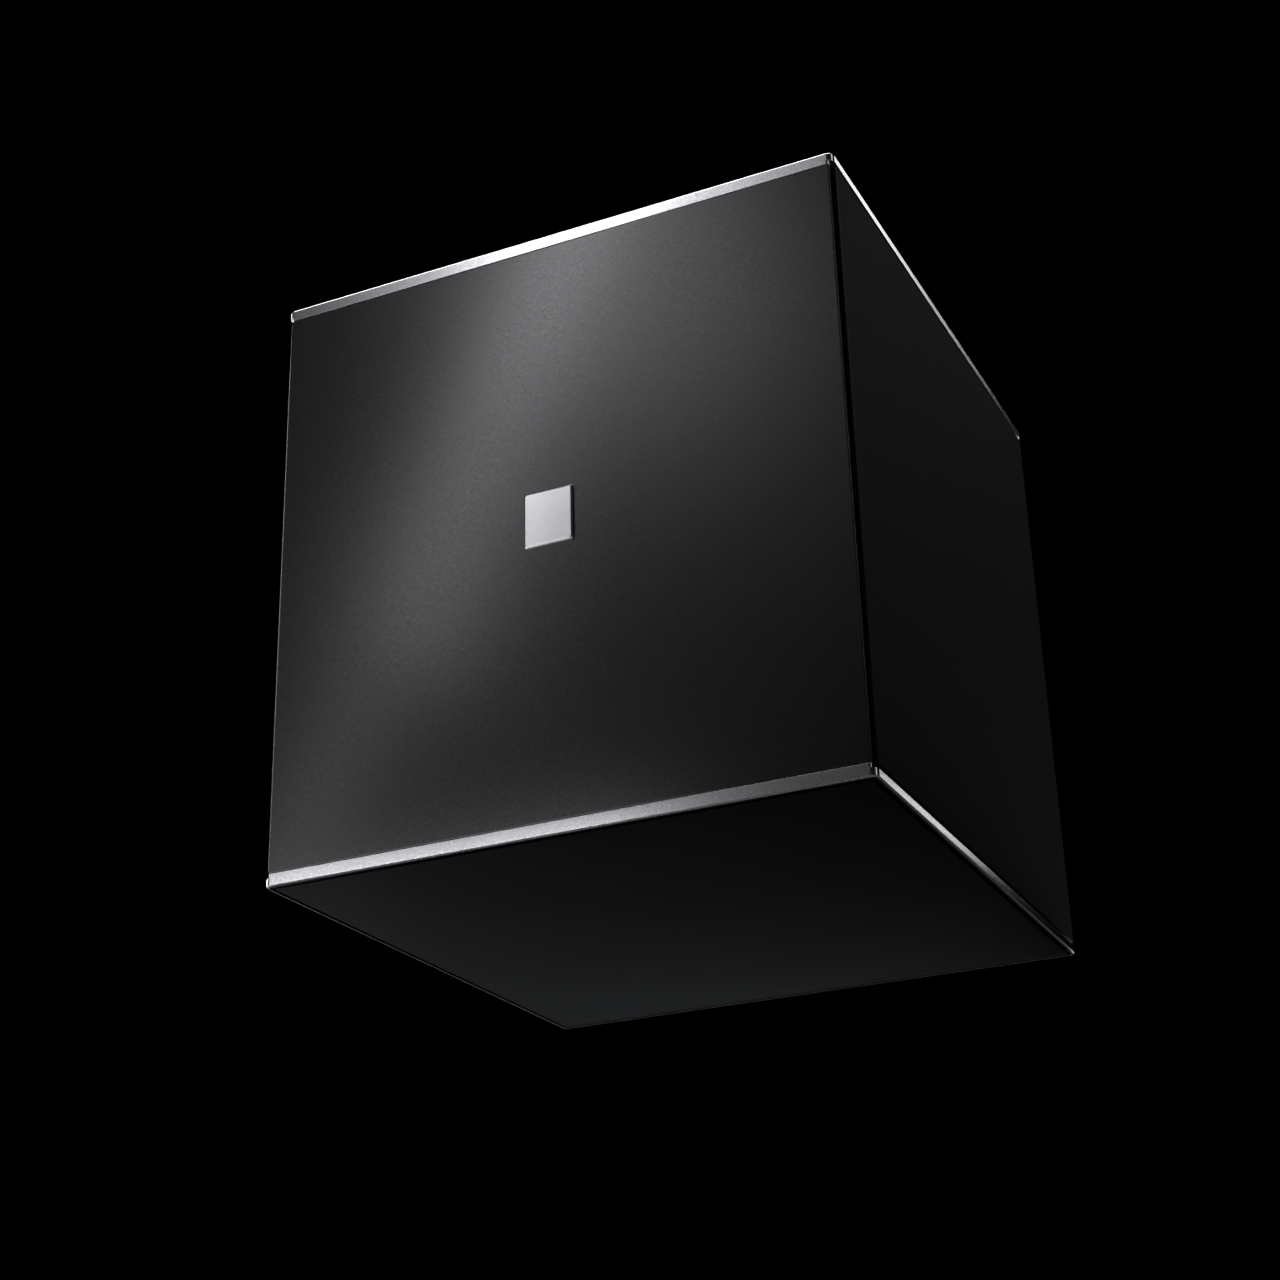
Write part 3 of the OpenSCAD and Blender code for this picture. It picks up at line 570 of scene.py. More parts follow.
def softened(outline, radius, steps=3):
    """A closed outline with each corner replaced by a parabola: (1-t)^2 a + 2t(1-t) corner + t^2 b.

    a and b lie radius away from the corner along its two sides, or at 0.45 of a side that is too short.
    """
    p = np.asarray(outline, float)
    before, after = np.roll(p, 1, 0) - p, np.roll(p, -1, 0) - p
    size_b, size_a = (np.linalg.norm(v, axis=1, keepdims=True) for v in (before, after))
    a = p + before / size_b * np.minimum(radius, size_b * 0.45)
    b = p + after / size_a * np.minimum(radius, size_a * 0.45)
    t = np.linspace(0, 1, steps + 1)[None, :, None]
    curve = (1 - t) ** 2 * a[:, None] + 2 * t * (1 - t) * p[:, None] + t**2 * b[:, None]
    return curve.reshape(-1, p.shape[1])


def round_rect(w, h, r, steps=8):
    """A rectangle's outline with round corners: corner centre plus r (cos, sin), a quarter turn at each corner."""
    r = max(r, 1e-4)
    turn = np.linspace(0, np.pi / 2, steps)[None, :] + np.arange(4)[:, None] * np.pi / 2
    cx = np.array([1, -1, -1, 1])[:, None] * (w / 2 - r)
    cy = np.array([1, 1, -1, -1])[:, None] * (h / 2 - r)
    return np.stack([cx + r * np.cos(turn), cy + r * np.sin(turn)], -1).reshape(-1, 2)


def revolve(profile, turns=96, wrap=False, flute=None):
    """A profile of (radius, height) turned about its axis: x = r cos a, y = r sin a, z = height.

    flute(a, profile) gives a factor on the radius at each angle.
    """
    profile = np.asarray(profile, float)
    a = np.linspace(0, TAU, turns, endpoint=False)[None, :]
    r = profile[:, :1] * (1 if flute is None else flute(a, profile))
    points = np.stack(np.broadcast_arrays(r * np.cos(a), r * np.sin(a), profile[:, 1:2]), -1)
    return points.reshape(-1, 3), grid_faces(len(profile), turns, wrap, True)


def at_driver(p):
    """Driver frame to the cabinet's: z forward out of the baffle, y up."""
    return np.stack([p[..., 0], BAFFLE_FRONT - p[..., 2], AXIS_Z + p[..., 1]], -1)


def at_plate(p, x=0.0, y=0.0):
    """Rear plate frame to the cabinet's: z out of the plate, x right and y up as seen from behind."""
    return np.stack([-(p[..., 0] + x), PLATE_FACE + p[..., 2], AXIS_Z + p[..., 1] + y], -1)


def piece(name, part, finish, body="cabinet", replaces=(), facing=None, angle=32, even=False):
    """A finished piece from points in millimetres: doubled points merged, faces turned outward, riding on its body.

    Edges sharper than angle degrees stay sharp. even weights the shading by face size, so flat faces look flat.
    """
    points, faces = part
    mesh = bpy.data.meshes.new(name)
    mesh.from_pydata((np.asarray(points, float).reshape(-1, 3) * MM).tolist(), [], faces)
    work = bmesh.new()
    work.from_mesh(mesh)
    bmesh.ops.remove_doubles(work, verts=work.verts, dist=2e-6)
    bmesh.ops.dissolve_degenerate(work, edges=work.edges, dist=1e-6)
    bmesh.ops.recalc_face_normals(work, faces=work.faces)
    if facing is not None:
        total = sum((f.normal * f.calc_area() for f in work.faces), Vector())
        if total.dot(Vector(facing)) < 0:
            bmesh.ops.reverse_faces(work, faces=work.faces)
    work.to_mesh(mesh)
    work.free()
    mesh.polygons.foreach_set("use_smooth", [True] * len(mesh.polygons))
    mesh.set_sharp_from_angle(angle=math.radians(angle))
    made = bpy.data.objects.new(name, mesh)
    bpy.context.scene.collection.objects.link(made)
    if even:
        made.modifiers.new("even shading", "WEIGHTED_NORMAL").keep_sharp = True
    mesh.materials.append(FINISHES.get(finish, PRINT))
    if body:
        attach(made, body)
    if replaces:
        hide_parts(*replaces)
    finish in FINISHES
    return made


# ---------- cabinet ----------


def edge_band(name, node, flip):
    """The band: an L section with a chamfered foot and soft corners, carried round the cabinet's plan.

    Point = plan outline inset by d, at the section's height. A strip along the front closes the shadow gap there.
    """
    ledge_z, foot_in = 2.7, 1.5
    corners = [(1.0, 0), (0, 1.0), (0, BAND_H), (BAND_T, BAND_H), (BAND_T, ledge_z), (foot_in, ledge_z), (foot_in, 0)]
    section = softened(corners, 0.16)
    rings = np.array([
        np.column_stack([round_rect(2 * HALF_W - 2 * d, REAR - FRONT - 2 * d, BAND_R - d, 10), np.full(40, z)])
        for d, z in section
    ])
    ring = rings.reshape(-1, 3), grid_faces(len(section), 40, True, True)
    top = BAND_H + BAND_STRIP
    levels = [(0, BAND_H - 0.5), (0, top - 0.16), (0.04, top - 0.05), (0.14, top)]
    depth, proud = 4, 0.006
    strip = loft([
        np.column_stack([
            round_rect(LIP_W - 2 * i, depth - 2 * i, LIP_R, 8) + (0, FRONT + depth / 2 - proud), np.full(32, z)
        ])
        for i, z in levels
    ])
    points, faces = joined(ring, strip)
    if flip:
        points = points * (1, 1, -1) + (0, 0, HEIGHT)
    return piece(name, (points, faces), "band_metal", replaces=[node], angle=28, even=True)


def side_board(name, node, side):
    """An upright board: its plan has a small round front edge and a larger rear one, and its ends are eased."""
    x0, x1, y0, y1 = HALF_W - BOARD_T, HALF_W, BOARD_FRONT, REAR
    front, back = 0.8, 3.5
    turn = np.linspace(0, np.pi / 2, 9)
    front_arc = np.stack([x1 - front + front * np.sin(turn), y0 + front - front * np.cos(turn)], -1)
    back_arc = np.stack([x1 - back + back * np.cos(turn), y1 - back + back * np.sin(turn)], -1)
    plan = np.concatenate([[(x0, y0)], front_arc, back_arc, [(x0, y1)]])
    centre, half = plan.mean(0), np.array([BOARD_T / 2, 160.0])
    z0, z1 = BAND_H + BAND_STRIP, HEIGHT - BAND_H - BAND_STRIP
    rings = []
    for inset, z in [(0.35, z0), (0.1, z0 + 0.1), (0, z0 + 0.35), (0, z1 - 0.35), (0.1, z1 - 0.1), (0.35, z1)]:
        ring = centre + (plan - centre) * (1 - inset / half)
        rings.append(np.column_stack([ring[:, 0] * side, ring[:, 1], np.full(len(plan), z)]))
    return piece(name, loft(rings), "black_lacquer", replaces=[node], angle=30, even=True)


edge_band("bottom_edge_band", "bottom_band", False)
edge_band("top_edge_band", "top_band", True)
side_board("right_side_board", "right_side_panel", 1)
side_board("left_side_board", "left_side_panel", -1)


def wadding_pads():
    """Four soft pads: on each axis sgn(c) |c|^0.32 of a ball's coordinate, times half the pad, puffed by slow waves."""
    parts = []
    half_thick, gap, squareness = 10.0, 3, 0.32
    u = np.linspace(-np.pi / 2, np.pi / 2, 26)[:, None]
    v = np.linspace(0, TAU, 52, endpoint=False)[None, :]
    power = lambda c: np.sign(c) * np.abs(c) ** squareness
    lo, hi = (np.array(c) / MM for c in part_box("damping_pads"))
    front_run = BAFFLE_BACK + BOARD_T + gap, -BRACE_HALF - gap
    rear_run = BRACE_HALF + gap, REAR_BOARD_FACE - BOARD_T - gap
    for side in (-1, 1):
        for y0, y1 in (front_run, rear_run):
            size = np.array([half_thick, (y1 - y0) / 2, (hi[2] - lo[2]) / 2])
            centre = np.array([side * (hi[0] - half_thick), (y0 + y1) / 2, (hi[2] + lo[2]) / 2])
            x = power(np.cos(u)) * power(np.cos(v))
            y = power(np.cos(u)) * power(np.sin(v))
            z = power(np.sin(u)) * np.ones_like(v)
            puff = 0.93 + 0.05 * np.sin(9 * y + 3 * z + side) * np.cos(7 * z)
            points = np.stack([x * puff, y, z], -1) * size * 0.985 + centre
            parts.append((points, grid_faces(26, 52, False, True)))
    made = piece("wadding_pads", joined(*parts), "wadding", replaces=["damping_pads"], angle=70)
    return made


wadding_pads()

# ---------- grille ----------


def stretched_cloth():
    """Cloth pulled over the grille's lip, in rings of the lip's outline.

    The rings come from the glued fold behind the lip, turn its edge and shrink to the middle as outline times s. The
    edge is a quarter of an ellipse: inset (1 - cos t) of 0.6 mm across and 0.35 mm up, and 0.8 sin t mm forward.
    """
    turn_y, round_y, round_x, round_z, corner = -161.2, 0.8, 0.6, 0.35, LIP_R + 0.3
    width, height = LIP_W + 0.7, LIP_H + 0.4
    fold = [
        (8.0, -159.58), (4.5, -159.56), (1.3, -159.58), (0.5, -159.66), (0.12, -159.9), (0.0, -160.25), (0.0, turn_y)
    ]
    turn = np.linspace(0, np.pi / 2, 8)[1:]
    edge = [(1 - np.cos(t), turn_y - round_y * np.sin(t)) for t in turn]
    rings = [
        np.column_stack([round_rect(width - 2 * d, height - 2 * d, corner - min(d, 1.2), 6), np.full(24, y)])
        for d, y in fold
    ]
    for d, y in edge:
        outline = round_rect(width - 2 * round_x * d, height - 2 * round_z * d, corner - 0.5 * d, 6)
        rings.append(np.column_stack([outline, np.full(24, y)]))
    flat = rings[-1]
    for s in (0.997, 0.99, 0.96, 0.88, 0.75, 0.6, 0.45, 0.3, 0.15, 0.0):
        rings.append(flat * (s, s, 1))
    part = loft([r[:, [0, 2, 1]] + (0, 0, AXIS_Z) for r in rings], ends=False)
    made = piece(
        "stretched_grille_cloth", part, "grille_cloth_black", "grille", ["grille_cloth"], facing=(0, -1, 0), angle=60
    )
    mesh = made.data
    co = np.zeros(len(mesh.vertices) * 3)
    mesh.vertices.foreach_get("co", co)
    x, y, z = co.reshape(-1, 3).T
    z = z - CENTRE_Z
    back = y - FRONT * MM
    turned_x, turned_z = 0.1545, 0.1555
    u = x + np.sign(x) * back * (np.abs(x) > turned_x)
    v = z + np.sign(z) * back * (np.abs(z) > turned_z)
    loops = np.zeros(len(mesh.loops), int)
    mesh.loops.foreach_get("vertex_index", loops)
    mesh.uv_layers.new(name="weave").data.foreach_set("uv", np.stack([u, v], -1)[loops].ravel())
    thick = made.modifiers.new("cloth", "SOLIDIFY")
    thick.thickness, thick.offset = 0.4 * MM, -1
    return made


def badge():
    """A plain bevelled plate: its outline shrinks by 0.92 mm over the last 0.66 mm of its thickness."""
    width, height, corner, gap = 27, 30, 1.2, 0.02
    levels = [(0, 0.0), (0, 0.94), (0.06, 1.02), (0.8, 1.54), (0.92, 1.6)]
    rings = [
        np.column_stack([round_rect(width - 2 * i, height - 2 * i, corner, 8), np.full(32, d)]) for i, d in levels
    ]
    points, faces = loft(rings)
    points = np.stack([points[:, 0], FRONT - gap - points[:, 2], AXIS_Z + points[:, 1]], -1)
    return piece("plain_badge", (points, faces), "badge_metal", "grille", ["badge_plate"], angle=20, even=True)


stretched_cloth()
badge()

# ---------- driver ----------


def sector(profile, start, end, steps=10):
    """Part of a revolve: the profile at angles from start to end, closed over both ends."""
    profile = np.asarray(profile, float)
    a = np.linspace(start, end, steps)[:, None]
    r, height = profile.T
    return loft(np.stack(np.broadcast_arrays(r * np.cos(a), r * np.sin(a), height), -1))


def flexing_ring(name, node, profile, finish, outer, inner, count=16):
    """A ring that joins the basket to the cone, in equal sectors."""
    for k in range(count):
        start, end = TAU * k / count, TAU * (k + 1) / count
        points, faces = sector(profile, start, end)
        made = piece(f"{name}_{k + 1:02d}", (at_driver(points), faces), finish, None, angle=40)
        middle = (start + end) / 2
        ends = [
            at_driver(np.array([r * math.cos(middle), r * math.sin(middle), 0.0])) * MM
            for r in (outer, inner)
        ]
        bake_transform(made)
        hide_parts(node)


def surround_profile():
    """A half roll 1 mm thick between two flat feet: r = 80.5 + 7.5 cos a, height = 7.5 sin a above the feet."""
    a = np.linspace(0, np.pi, 22)
    seat, mid, roll = -1.18, 80.5, 7.5
    over = np.stack([mid + roll * np.cos(a), seat + 1 + roll * np.sin(a)], -1)
    under = np.stack([mid + (roll - 1) * np.cos(a[::-1]), seat + (roll - 1) * np.sin(a[::-1])], -1)
    return np.concatenate([[(92.2, seat), (92.2, seat + 1)], over, [(68.2, seat + 1), (68.2, seat)], under])


def spider_profile():
    """A corrugated ring 0.5 mm thick: height over its foot = 1.1 (1 - cos(turns)) / 2, a turn to 7.6 mm of radius."""
    inner, outer, foot, pitch, depth, thick = 19.35, 58.0, -39.95, 7.6, 1.1, 0.5
    r = np.linspace(inner, outer, 64)
    wave = depth * (1 - np.cos(TAU * (outer - r) / pitch)) / 2
    low = np.stack([r, foot + wave], -1)
    return np.concatenate([low, (low + (0, thick))[::-1]])


def cone_shell():
    """The cone's wall from neck to edge: front height = straight line + 0.14 sin(8 turns), over its outer part only."""
    neck_r, neck_z, edge_r, edge_z, press = 19.22, -34.4, 67, -1.24, 0.14
    t = np.linspace(0, 1, 60)
    wave = press * np.sin(TAU * 8 * t) * (t > 0.42) * (t < 0.96)
    front = np.stack([neck_r + (edge_r - neck_r) * t, neck_z + (edge_z - neck_z) * t + wave], -1)
    rim = [(72.0, edge_z), (72.0, -2.44), (68.0, -4.04)]
    back = np.stack([np.linspace(68, 20.42, 30), np.linspace(-4.04, -36.6, 30)], -1)[1:]
    return np.concatenate([front, rim, back, [(neck_r, -36.2)]])


def dust_dome():
    """A cap cut from a ball, 1 mm thick: ball radius = (radius^2 + rise^2) / (2 rise)."""
    radius, rise, foot, thick = 34, 10, -23.09, 1.0
    ball = (radius**2 + rise**2) / (2 * rise)
    a = np.linspace(0, math.asin(radius / ball), 26)
    over = np.stack([ball * np.sin(a), foot - ball + rise + ball * np.cos(a)], -1)
    return np.concatenate([over, (over - (0, thick))[::-1]])


flexing_ring("surround_sector", "surround", surround_profile(), "black_rubber", 88.0, 73.0)
flexing_ring("spider_sector", "spider", spider_profile(), "spider_cloth", 56.0, 22.0)
for name, profile, node, wrap in (
    ("pressed_cone", cone_shell(), "cone", True), ("dust_cap_dome", dust_dome(), "dust_cap", False)
):
    points, faces = revolve(profile, 128, wrap)
    piece(name, (at_driver(points), faces), "cone_paper", "cone_assembly", [node], angle=50)

# ---------- rear plate ----------


def fluted_knob(name, node, body, x):
    """A turned knob with a hollow skirt and 24 shallow flutes: grip radius x (1 - 0.045 (1 + cos 24 a) / 2)."""
    flute_count, flute_share = 24, 0.045
    inside = [(0, 15.8), (3.02, 15.8), (3.02, 6.6), (7.4, 6.6), (7.4, 2.4)]
    skirt = [(7.6, 2.3), (8.8, 2.3), (9.0, 2.5), (9.0, 8.4), (8.85, 8.7), (8.5, 9.1)]
    grip_side = [(8.42, 9.6), (8.25, 18.6), (8.1, 19.6), (7.7, 20.3), (7.1, 20.6)]
    face = [(6.4, 20.6), (6.1, 20.42), (0, 20.42)]
    profile = np.array(inside + skirt + grip_side + face)

    def flutes(a, profile):
        grip = ((profile[:, 1:2] > 9.0) & (profile[:, 1:2] < 19.8) & (profile[:, :1] > 7.5)).astype(float)
        return 1 - flute_share * grip * (1 + np.cos(flute_count * a)) / 2

    points, faces = revolve(profile, 144, False, flutes)
    return piece(name, (at_plate(points, x, KNOB_Y), faces), "knob_plastic", body, [node], angle=35)


def phono_shells():
    """Three turned sockets: a rolled lip, a barrel with two grooves, a flange, and the nut behind the plate."""
    lip = [(3.5, 9.8), (3.7, 10.0), (3.95, 10.0), (4.15, 9.8)]
    grooves = [(4.15, 7.6), (4.0, 7.45), (4.0, 7.05), (4.15, 6.9), (4.15, 4.2), (4.0, 4.05), (4.0, 3.65), (4.15, 3.5)]
    flange = [(4.15, 2.0), (5.9, 2.0), (6.15, 1.75), (6.15, 0.02), (4.15, 0.02)]
    nut = [(4.15, -2.52), (5.95, -2.52), (5.95, -4.52), (3.5, -4.52)]
    points, faces = revolve(lip + grooves + flange + nut, 48, True)
    shells = joined(*[(at_plate(points, x, PHONO_Y), faces) for x in PHONO_X])
    return piece("phono_shells", shells, "socket_gold", replaces=["phono_sockets"], angle=30)


def phono_inserts():
    """Three plastic tubes inside the sockets, their faces dished slightly round the centre hole."""
    profile = [(3.48, 9.6), (3.3, 9.75), (2.2, 9.55), (1.85, 9.3), (1.65, 9.1), (1.65, -8.5), (3.48, -8.5)]
    points, faces = revolve(profile, 40, True)
    inserts = joined(*[(at_plate(points, x, PHONO_Y), faces) for x in PHONO_X])
    return piece("phono_inserts", inserts, "socket_insert", replaces=["phono_insulators"], angle=30)


def finned_sink():
    """An extrusion along the plate's height: a 3 mm base with 13 tapered fins, each corner rounded."""
    half_w, gap, base_z, fin_z, root, tip, fins = 65, 0.02, 3.0, 14.0, 1.0, 0.75, 13
    outline = [(-half_w, gap)]
    for i, x in enumerate(np.linspace(-half_w + root, half_w - root, fins)):
        first, last = i == 0, i == fins - 1
        outline += [] if first else [(x - root, base_z)]
        outline += [(-half_w if first else x - tip, fin_z), (half_w if last else x + tip, fin_z)]
        outline += [] if last else [(x + root, base_z)]
    outline += [(half_w, gap)]
    section = softened(outline, 0.45)
    middle = section.mean(0)
    rings = []
    for y, inset in [(-28, 0.12), (-27.8, 0), (27.8, 0), (28, 0.12)]:
        ring = middle + (section - middle) * (1 - inset / half_w)
        rings.append(np.column_stack([ring[:, 0], np.full(len(ring), y), ring[:, 1]]))
    points, faces = loft(rings)
    sink_x, sink_y = 0, -26
    part = at_plate(points, sink_x, sink_y), faces
    return piece("finned_heatsink", part, "sink_anodised", replaces=["heatsink"], angle=35, even=True)


def turned_bolt():
    """The transformer's bolt: pan head with a six-sided socket, shank, clamping washer and six-sided nut.

    Where six-sided, radius = corner radius x cos 30 / cos(angle from the middle of the nearest flat).
    """
    socket_r, nut_z = 1.9, -34.54
    head = [(0, 1.0), (socket_r, 1.0), (socket_r, 2.75), (2.1, 2.92), (3.5, 3.0), (4.2, 2.6), (4.4, 2.0), (4.4, 0.02)]
    washer = [(2.5, 0.02), (2.5, -32.54), (19.6, -32.54), (20, -32.9), (20, -34.14), (19.6, nut_z)]
    nut = [(4.4, nut_z), (4.4, -38.2), (4.0, -38.5), (0, -38.5)]

    def six_sided(a, profile):
        r, z = profile[:, :1], profile[:, 1:2]
        cut = (r == socket_r) | ((z <= nut_z) & (r < 5))
        return 1 + cut * (math.cos(math.pi / 6) / np.cos(a % (math.pi / 3) - math.pi / 6) - 1)

    points, faces = revolve(head + washer + nut, 48, False, six_sided)
    bolt_x, bolt_y = 50, -72
    part = at_plate(points, bolt_x, bolt_y), faces
    return piece("turned_transformer_bolt", part, "zinc_steel", replaces=["transformer_bolt"], angle=30)


turned_bolt()
fluted_knob("gain_control_knob", "gain_knob", "gain_control", -KNOB_X)
fluted_knob("crossover_control_knob", "crossover_knob", "crossover_control", KNOB_X)
phono_shells()
phono_inserts()
finned_sink()


def printed_ticks():
    """Eleven ticks round each dial, a bar beside each switch end and a ring round each socket, as flat quads."""
    ticks, first_angle, step, half, quads = 11, 240, 30, 0.22, []

    def quad(corners, x, y):
        quads.append([(c[0] + x, c[1] + y, PRINT_LIFT) for c in corners])

    for x in (-KNOB_X, KNOB_X):
        for k in range(ticks):
            a = math.radians(first_angle - step * k)
            along, across = np.array([math.cos(a), math.sin(a)]), np.array([-math.sin(a), math.cos(a)])
            r0, r1 = 11.2, 13.4 if k % 5 == 0 else 12.6
            quad([along * r + across * s for r, s in ((r0, -half), (r1, -half), (r1, half), (r0, half))], x, KNOB_Y)
        for end in (-8.0, 8.0):
            quad([(-half, -1.8), (half, -1.8), (half, 1.8), (-half, 1.8)], x + end, 56)
    inner, outer = 7.2, 7.55
    for x in PHONO_X:
        a = np.linspace(0, TAU, 33)
        for a0, a1 in zip(a[:-1], a[1:]):
            corners = ((inner, a0), (outer, a0), (outer, a1), (inner, a1))
            quad([(r * math.cos(t), r * math.sin(t)) for r, t in corners], x, PHONO_Y)
    points = at_plate(np.array(quads).reshape(-1, 3))
    faces = np.arange(len(points)).reshape(-1, 4).tolist()
    return piece("printed_ticks", (points, faces), "print", facing=(0, 1, 0))


def printed_word(name, words, x, y, size):
    """Generic words and numbers: flat letters laid on the plate facing back."""
    curve = bpy.data.curves.new(name, "FONT")
    curve.body, curve.size, curve.align_x, curve.align_y = words, size, "CENTER", "CENTER"
    letters = bpy.data.objects.new(name + "_source", curve)
    bpy.context.scene.collection.objects.link(letters)
    flat = bpy.data.meshes.new_from_object(letters)
    bpy.data.objects.remove(letters)
    co = np.zeros(len(flat.vertices) * 3)
    flat.vertices.foreach_get("co", co)
    points = at_plate(co.reshape(-1, 3) + (0, 0, PRINT_LIFT), x, y)
    faces = [list(p.vertices) for p in flat.polygons]
    return piece(name, (points, faces), "print", facing=(0, 1, 0))


printed_ticks()
for index, (words, x, y, size) in enumerate([
    ("0", -54.5, 80.5, 3.6), ("5", -45, 108, 3.6), ("10", -35.5, 80.5, 3.6),
    ("40", 35.0, 80.5, 3.6), ("100", 45, 108, 3.6), ("160", 55.6, 80.5, 3.6),
    ("0", -56.5, 56, 3.4), ("180", -32.5, 56, 3.4), ("ON", 33.2, 56, 3.4), ("OFF", 57.3, 56, 3.4),
    ("L", 27, 33, 3.6), ("R", 45, 33, 3.6), ("LFE", 63, 33, 3.4),
    ("ON", 2, -71.5, 3.8), ("OFF", 2, -108.5, 3.8),
]):
    printed_word(f"plate_word_{index + 1:02d}", words, x, y, size)

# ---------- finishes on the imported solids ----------

SLOTS = {s["node"]: s["material_slot"] for s in frame["record"]["subparts"]}
SOFT_EDGES = {
    "mains_inlet": 0.35, "rocker_frame": 0.3, "rocker_button": 0.35, "driver_basket": 0.3, "grille_frame": 0.3,
    "amp_screws": 0.12, "driver_screws": 0.12, "phase_slider": 0.15, "mode_slider": 0.15,
}
for name, node in NODES.items():
    node.data.materials.clear()
    node.data.materials.append(FINISHES[SLOTS[name]])
    if name in SOFT_EDGES:
        weld = node.modifiers.new("weld", "WELD")
        weld.merge_threshold = 1e-5
        bevel = node.modifiers.new("soft edges", "BEVEL")
        bevel.width, bevel.segments = SOFT_EDGES[name] * MM, 2
        bevel.limit_method, bevel.angle_limit = "ANGLE", math.radians(40)

# ---------- camera ----------


def look():
    """The camera: backwards axis from its azimuth and elevation, then a small roll about it."""
    azimuth, elevation, roll = 0.43202, -0.41917, -0.02785
    place, sensor, focal_pixels, frame_pixels = (0.455146, -1.04608, -0.344445), 36.0, 2254.68, 1280
    flat = math.cos(elevation)
    back = Vector((math.sin(azimuth) * flat, -math.cos(azimuth) * flat, math.sin(elevation)))
    level = (-back).cross(Vector((0, 0, 1))).normalized()
    upright = level.cross(-back)
    right = math.cos(roll) * level + math.sin(roll) * upright
    up = math.cos(roll) * upright - math.sin(roll) * level
    data = bpy.data.cameras.new("camera")
    data.sensor_width, data.lens = sensor, sensor * focal_pixels / frame_pixels
    data.clip_start, data.clip_end = 0.05, 30
    made = bpy.data.objects.new("camera", data)
    turn = Matrix((right, up, back)).transposed().to_4x4()
    made.matrix_world = Matrix.Translation(place) @ turn
    bpy.context.scene.collection.objects.link(made)
    bpy.context.scene.camera = made


# ---------- floor and lights ----------


def floor():
    """A wide pale floor just under the cabinet, open under its footprint and clear from beneath."""
    z = -0.6
    wide, opening = 8000, 310
    outlines = round_rect(wide, wide, 1), round_rect(opening, opening, 1)
    points, faces = loft([np.column_stack([outline, np.full(32, z)]) for outline in outlines], ends=False)
    mesh = bpy.data.meshes.new("floor")
    mesh.from_pydata((points * MM).tolist(), [], faces)
    made = bpy.data.objects.new("floor", mesh)
    bpy.context.scene.collection.objects.link(made)
    paint, shader, start = new_paint("pale floor")
    tree = start.tree
    cloud = start.add("ShaderNodeTexCoord", out="Object").noise(3, 3)
    tree.links.new(cloud.tint((0.6, 0.6, 0.59), (0.66, 0.66, 0.65)).socket, shader.inputs["Base Color"])
    shader.inputs["Roughness"].default_value = 0.85
    under = start.add("ShaderNodeNewGeometry", out="Backfacing")
    clear = start.add("ShaderNodeBsdfTransparent")
    mixed = start.add("ShaderNodeMixShader", {0: under, 1: Wire(tree, shader.outputs[0]), 2: clear})
    output = next(n for n in tree.nodes if n.type == "OUTPUT_MATERIAL")
    tree.links.new(mixed.socket, output.inputs["Surface"])
    mesh.materials.append(paint)
    if mesh.polygons[0].normal.z < 0:
        mesh.flip_normals()
    made.visible_shadow = made.visible_diffuse = False
    return made


def spare_floor(lamp, ground):
    """Keeps a lamp that stands close to the floor from burning a spot on it."""
    group = bpy.data.collections.new(lamp.name + " spares")
    group.objects.link(ground)
    group.collection_objects[0].light_linking.link_state = "EXCLUDE"
    lamp.light_linking.receiver_collection = group


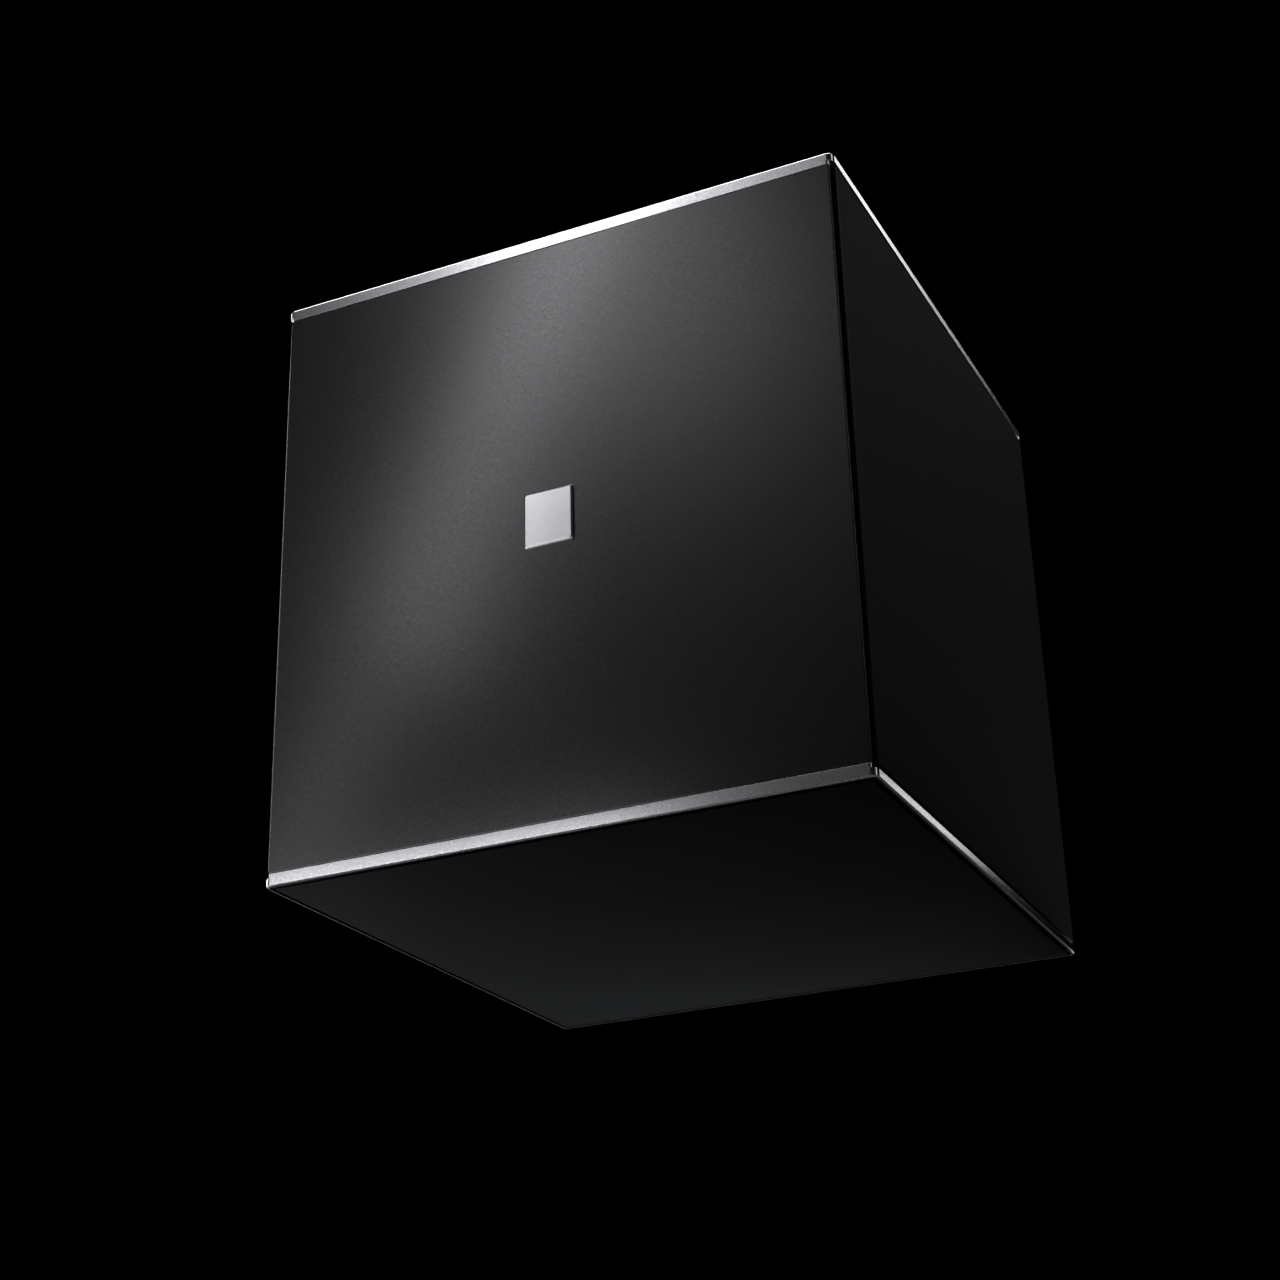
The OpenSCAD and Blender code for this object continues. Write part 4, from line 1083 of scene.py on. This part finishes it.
def softbox(name, centre, aim, size, tilt, glow, colour=(1, 1, 1)):
    """A rectangular lamp at centre, facing aim, turned by tilt about its own axis.

    size is its width and height in metres, and power = pi x width x height x glow.
    """
    data = bpy.data.lights.new(name, "AREA")
    data.shape, data.size, data.size_y = "RECTANGLE", *size
    data.energy, data.color = math.pi * size[0] * size[1] * glow, colour
    made = bpy.data.objects.new(name, data)
    ahead = (Vector(aim) - Vector(centre)).normalized()
    level = ahead.cross(Vector((0, 0, 1))).normalized()
    upright = level.cross(ahead)
    wide = math.cos(tilt) * level + math.sin(tilt) * upright
    high = math.cos(tilt) * upright - math.sin(tilt) * level
    made.matrix_world = Matrix.Translation(centre) @ Matrix((wide, high, -ahead)).transposed().to_4x4()
    made.visible_camera = False
    bpy.context.scene.collection.objects.link(made)
    return made


look()
ground = floor()
grille_aim, side_aim, edge_aim, under_aim = (0, -0.16, 0.17), (0.16, 0, 0.17), (0.16, -0.16, 0.17), (0, 0, 0)
DAY, SKY = (0.98, 0.98, 1.02), (0.9, 0.95, 1.0)
softbox("front strip", (-0.105, -0.390, 0.491), grille_aim, (0.042, 0.659), -0.40, 3.79, DAY)
low_strip = softbox("front low strip", (-0.159, -0.379, 0.045), grille_aim, (0.249, 0.039), 0.29, 4.87, DAY)
left_strip = softbox("front left strip", (-0.313, -0.421, 0.129), grille_aim, (0.032, 0.307), -0.38, 1.48, DAY)
for lamp in (low_strip, left_strip):
    spare_floor(lamp, ground)
softbox("front high box", (-0.488, -1.330, 1.136), grille_aim, (0.315, 0.263), 0.64, 2.25, DAY)
softbox("right rear strip", (0.629, 1.336, 1.632), side_aim, (0.116, 1.073), -0.02, 2.3)
softbox("right far box", (1.217, 3.240, 1.236), side_aim, (0.352, 0.150), -0.49, 1.32)
softbox("right edge strip", (1.26, -0.16, 0.78), edge_aim, (0.06, 1.0), 0, 5.5)
softbox("low rear glow", (-0.463, 0.299, -0.095), under_aim, (0.066, 0.100), 0.89, 2.83, SKY)
softbox("low rear wide glow", (-0.175, 0.271, -0.065), under_aim, (0.618, 0.030), -0.11, 1.24, SKY)
softbox("overhead softbox", (-0.5, 0.55, 1.4), (-0.1, 0.1, 0.3), (1.0, 0.7), 0, 5)
softbox("rear fill", (-0.55, 1.5, 0.8), (0, 0.16, 0.2), (0.9, 0.7), 0, 5)
softbox("left fill", (-1.3, 0.35, 0.7), (-0.16, 0.1, 0.2), (0.8, 0.7), 0, 5)

scene = bpy.context.scene
scene.view_settings.view_transform = "Standard"
world = bpy.data.worlds.new("dark studio")
world.use_nodes = True
world.node_tree.nodes["Background"].inputs[0].default_value = (0, 0, 0, 1)
scene.world = world
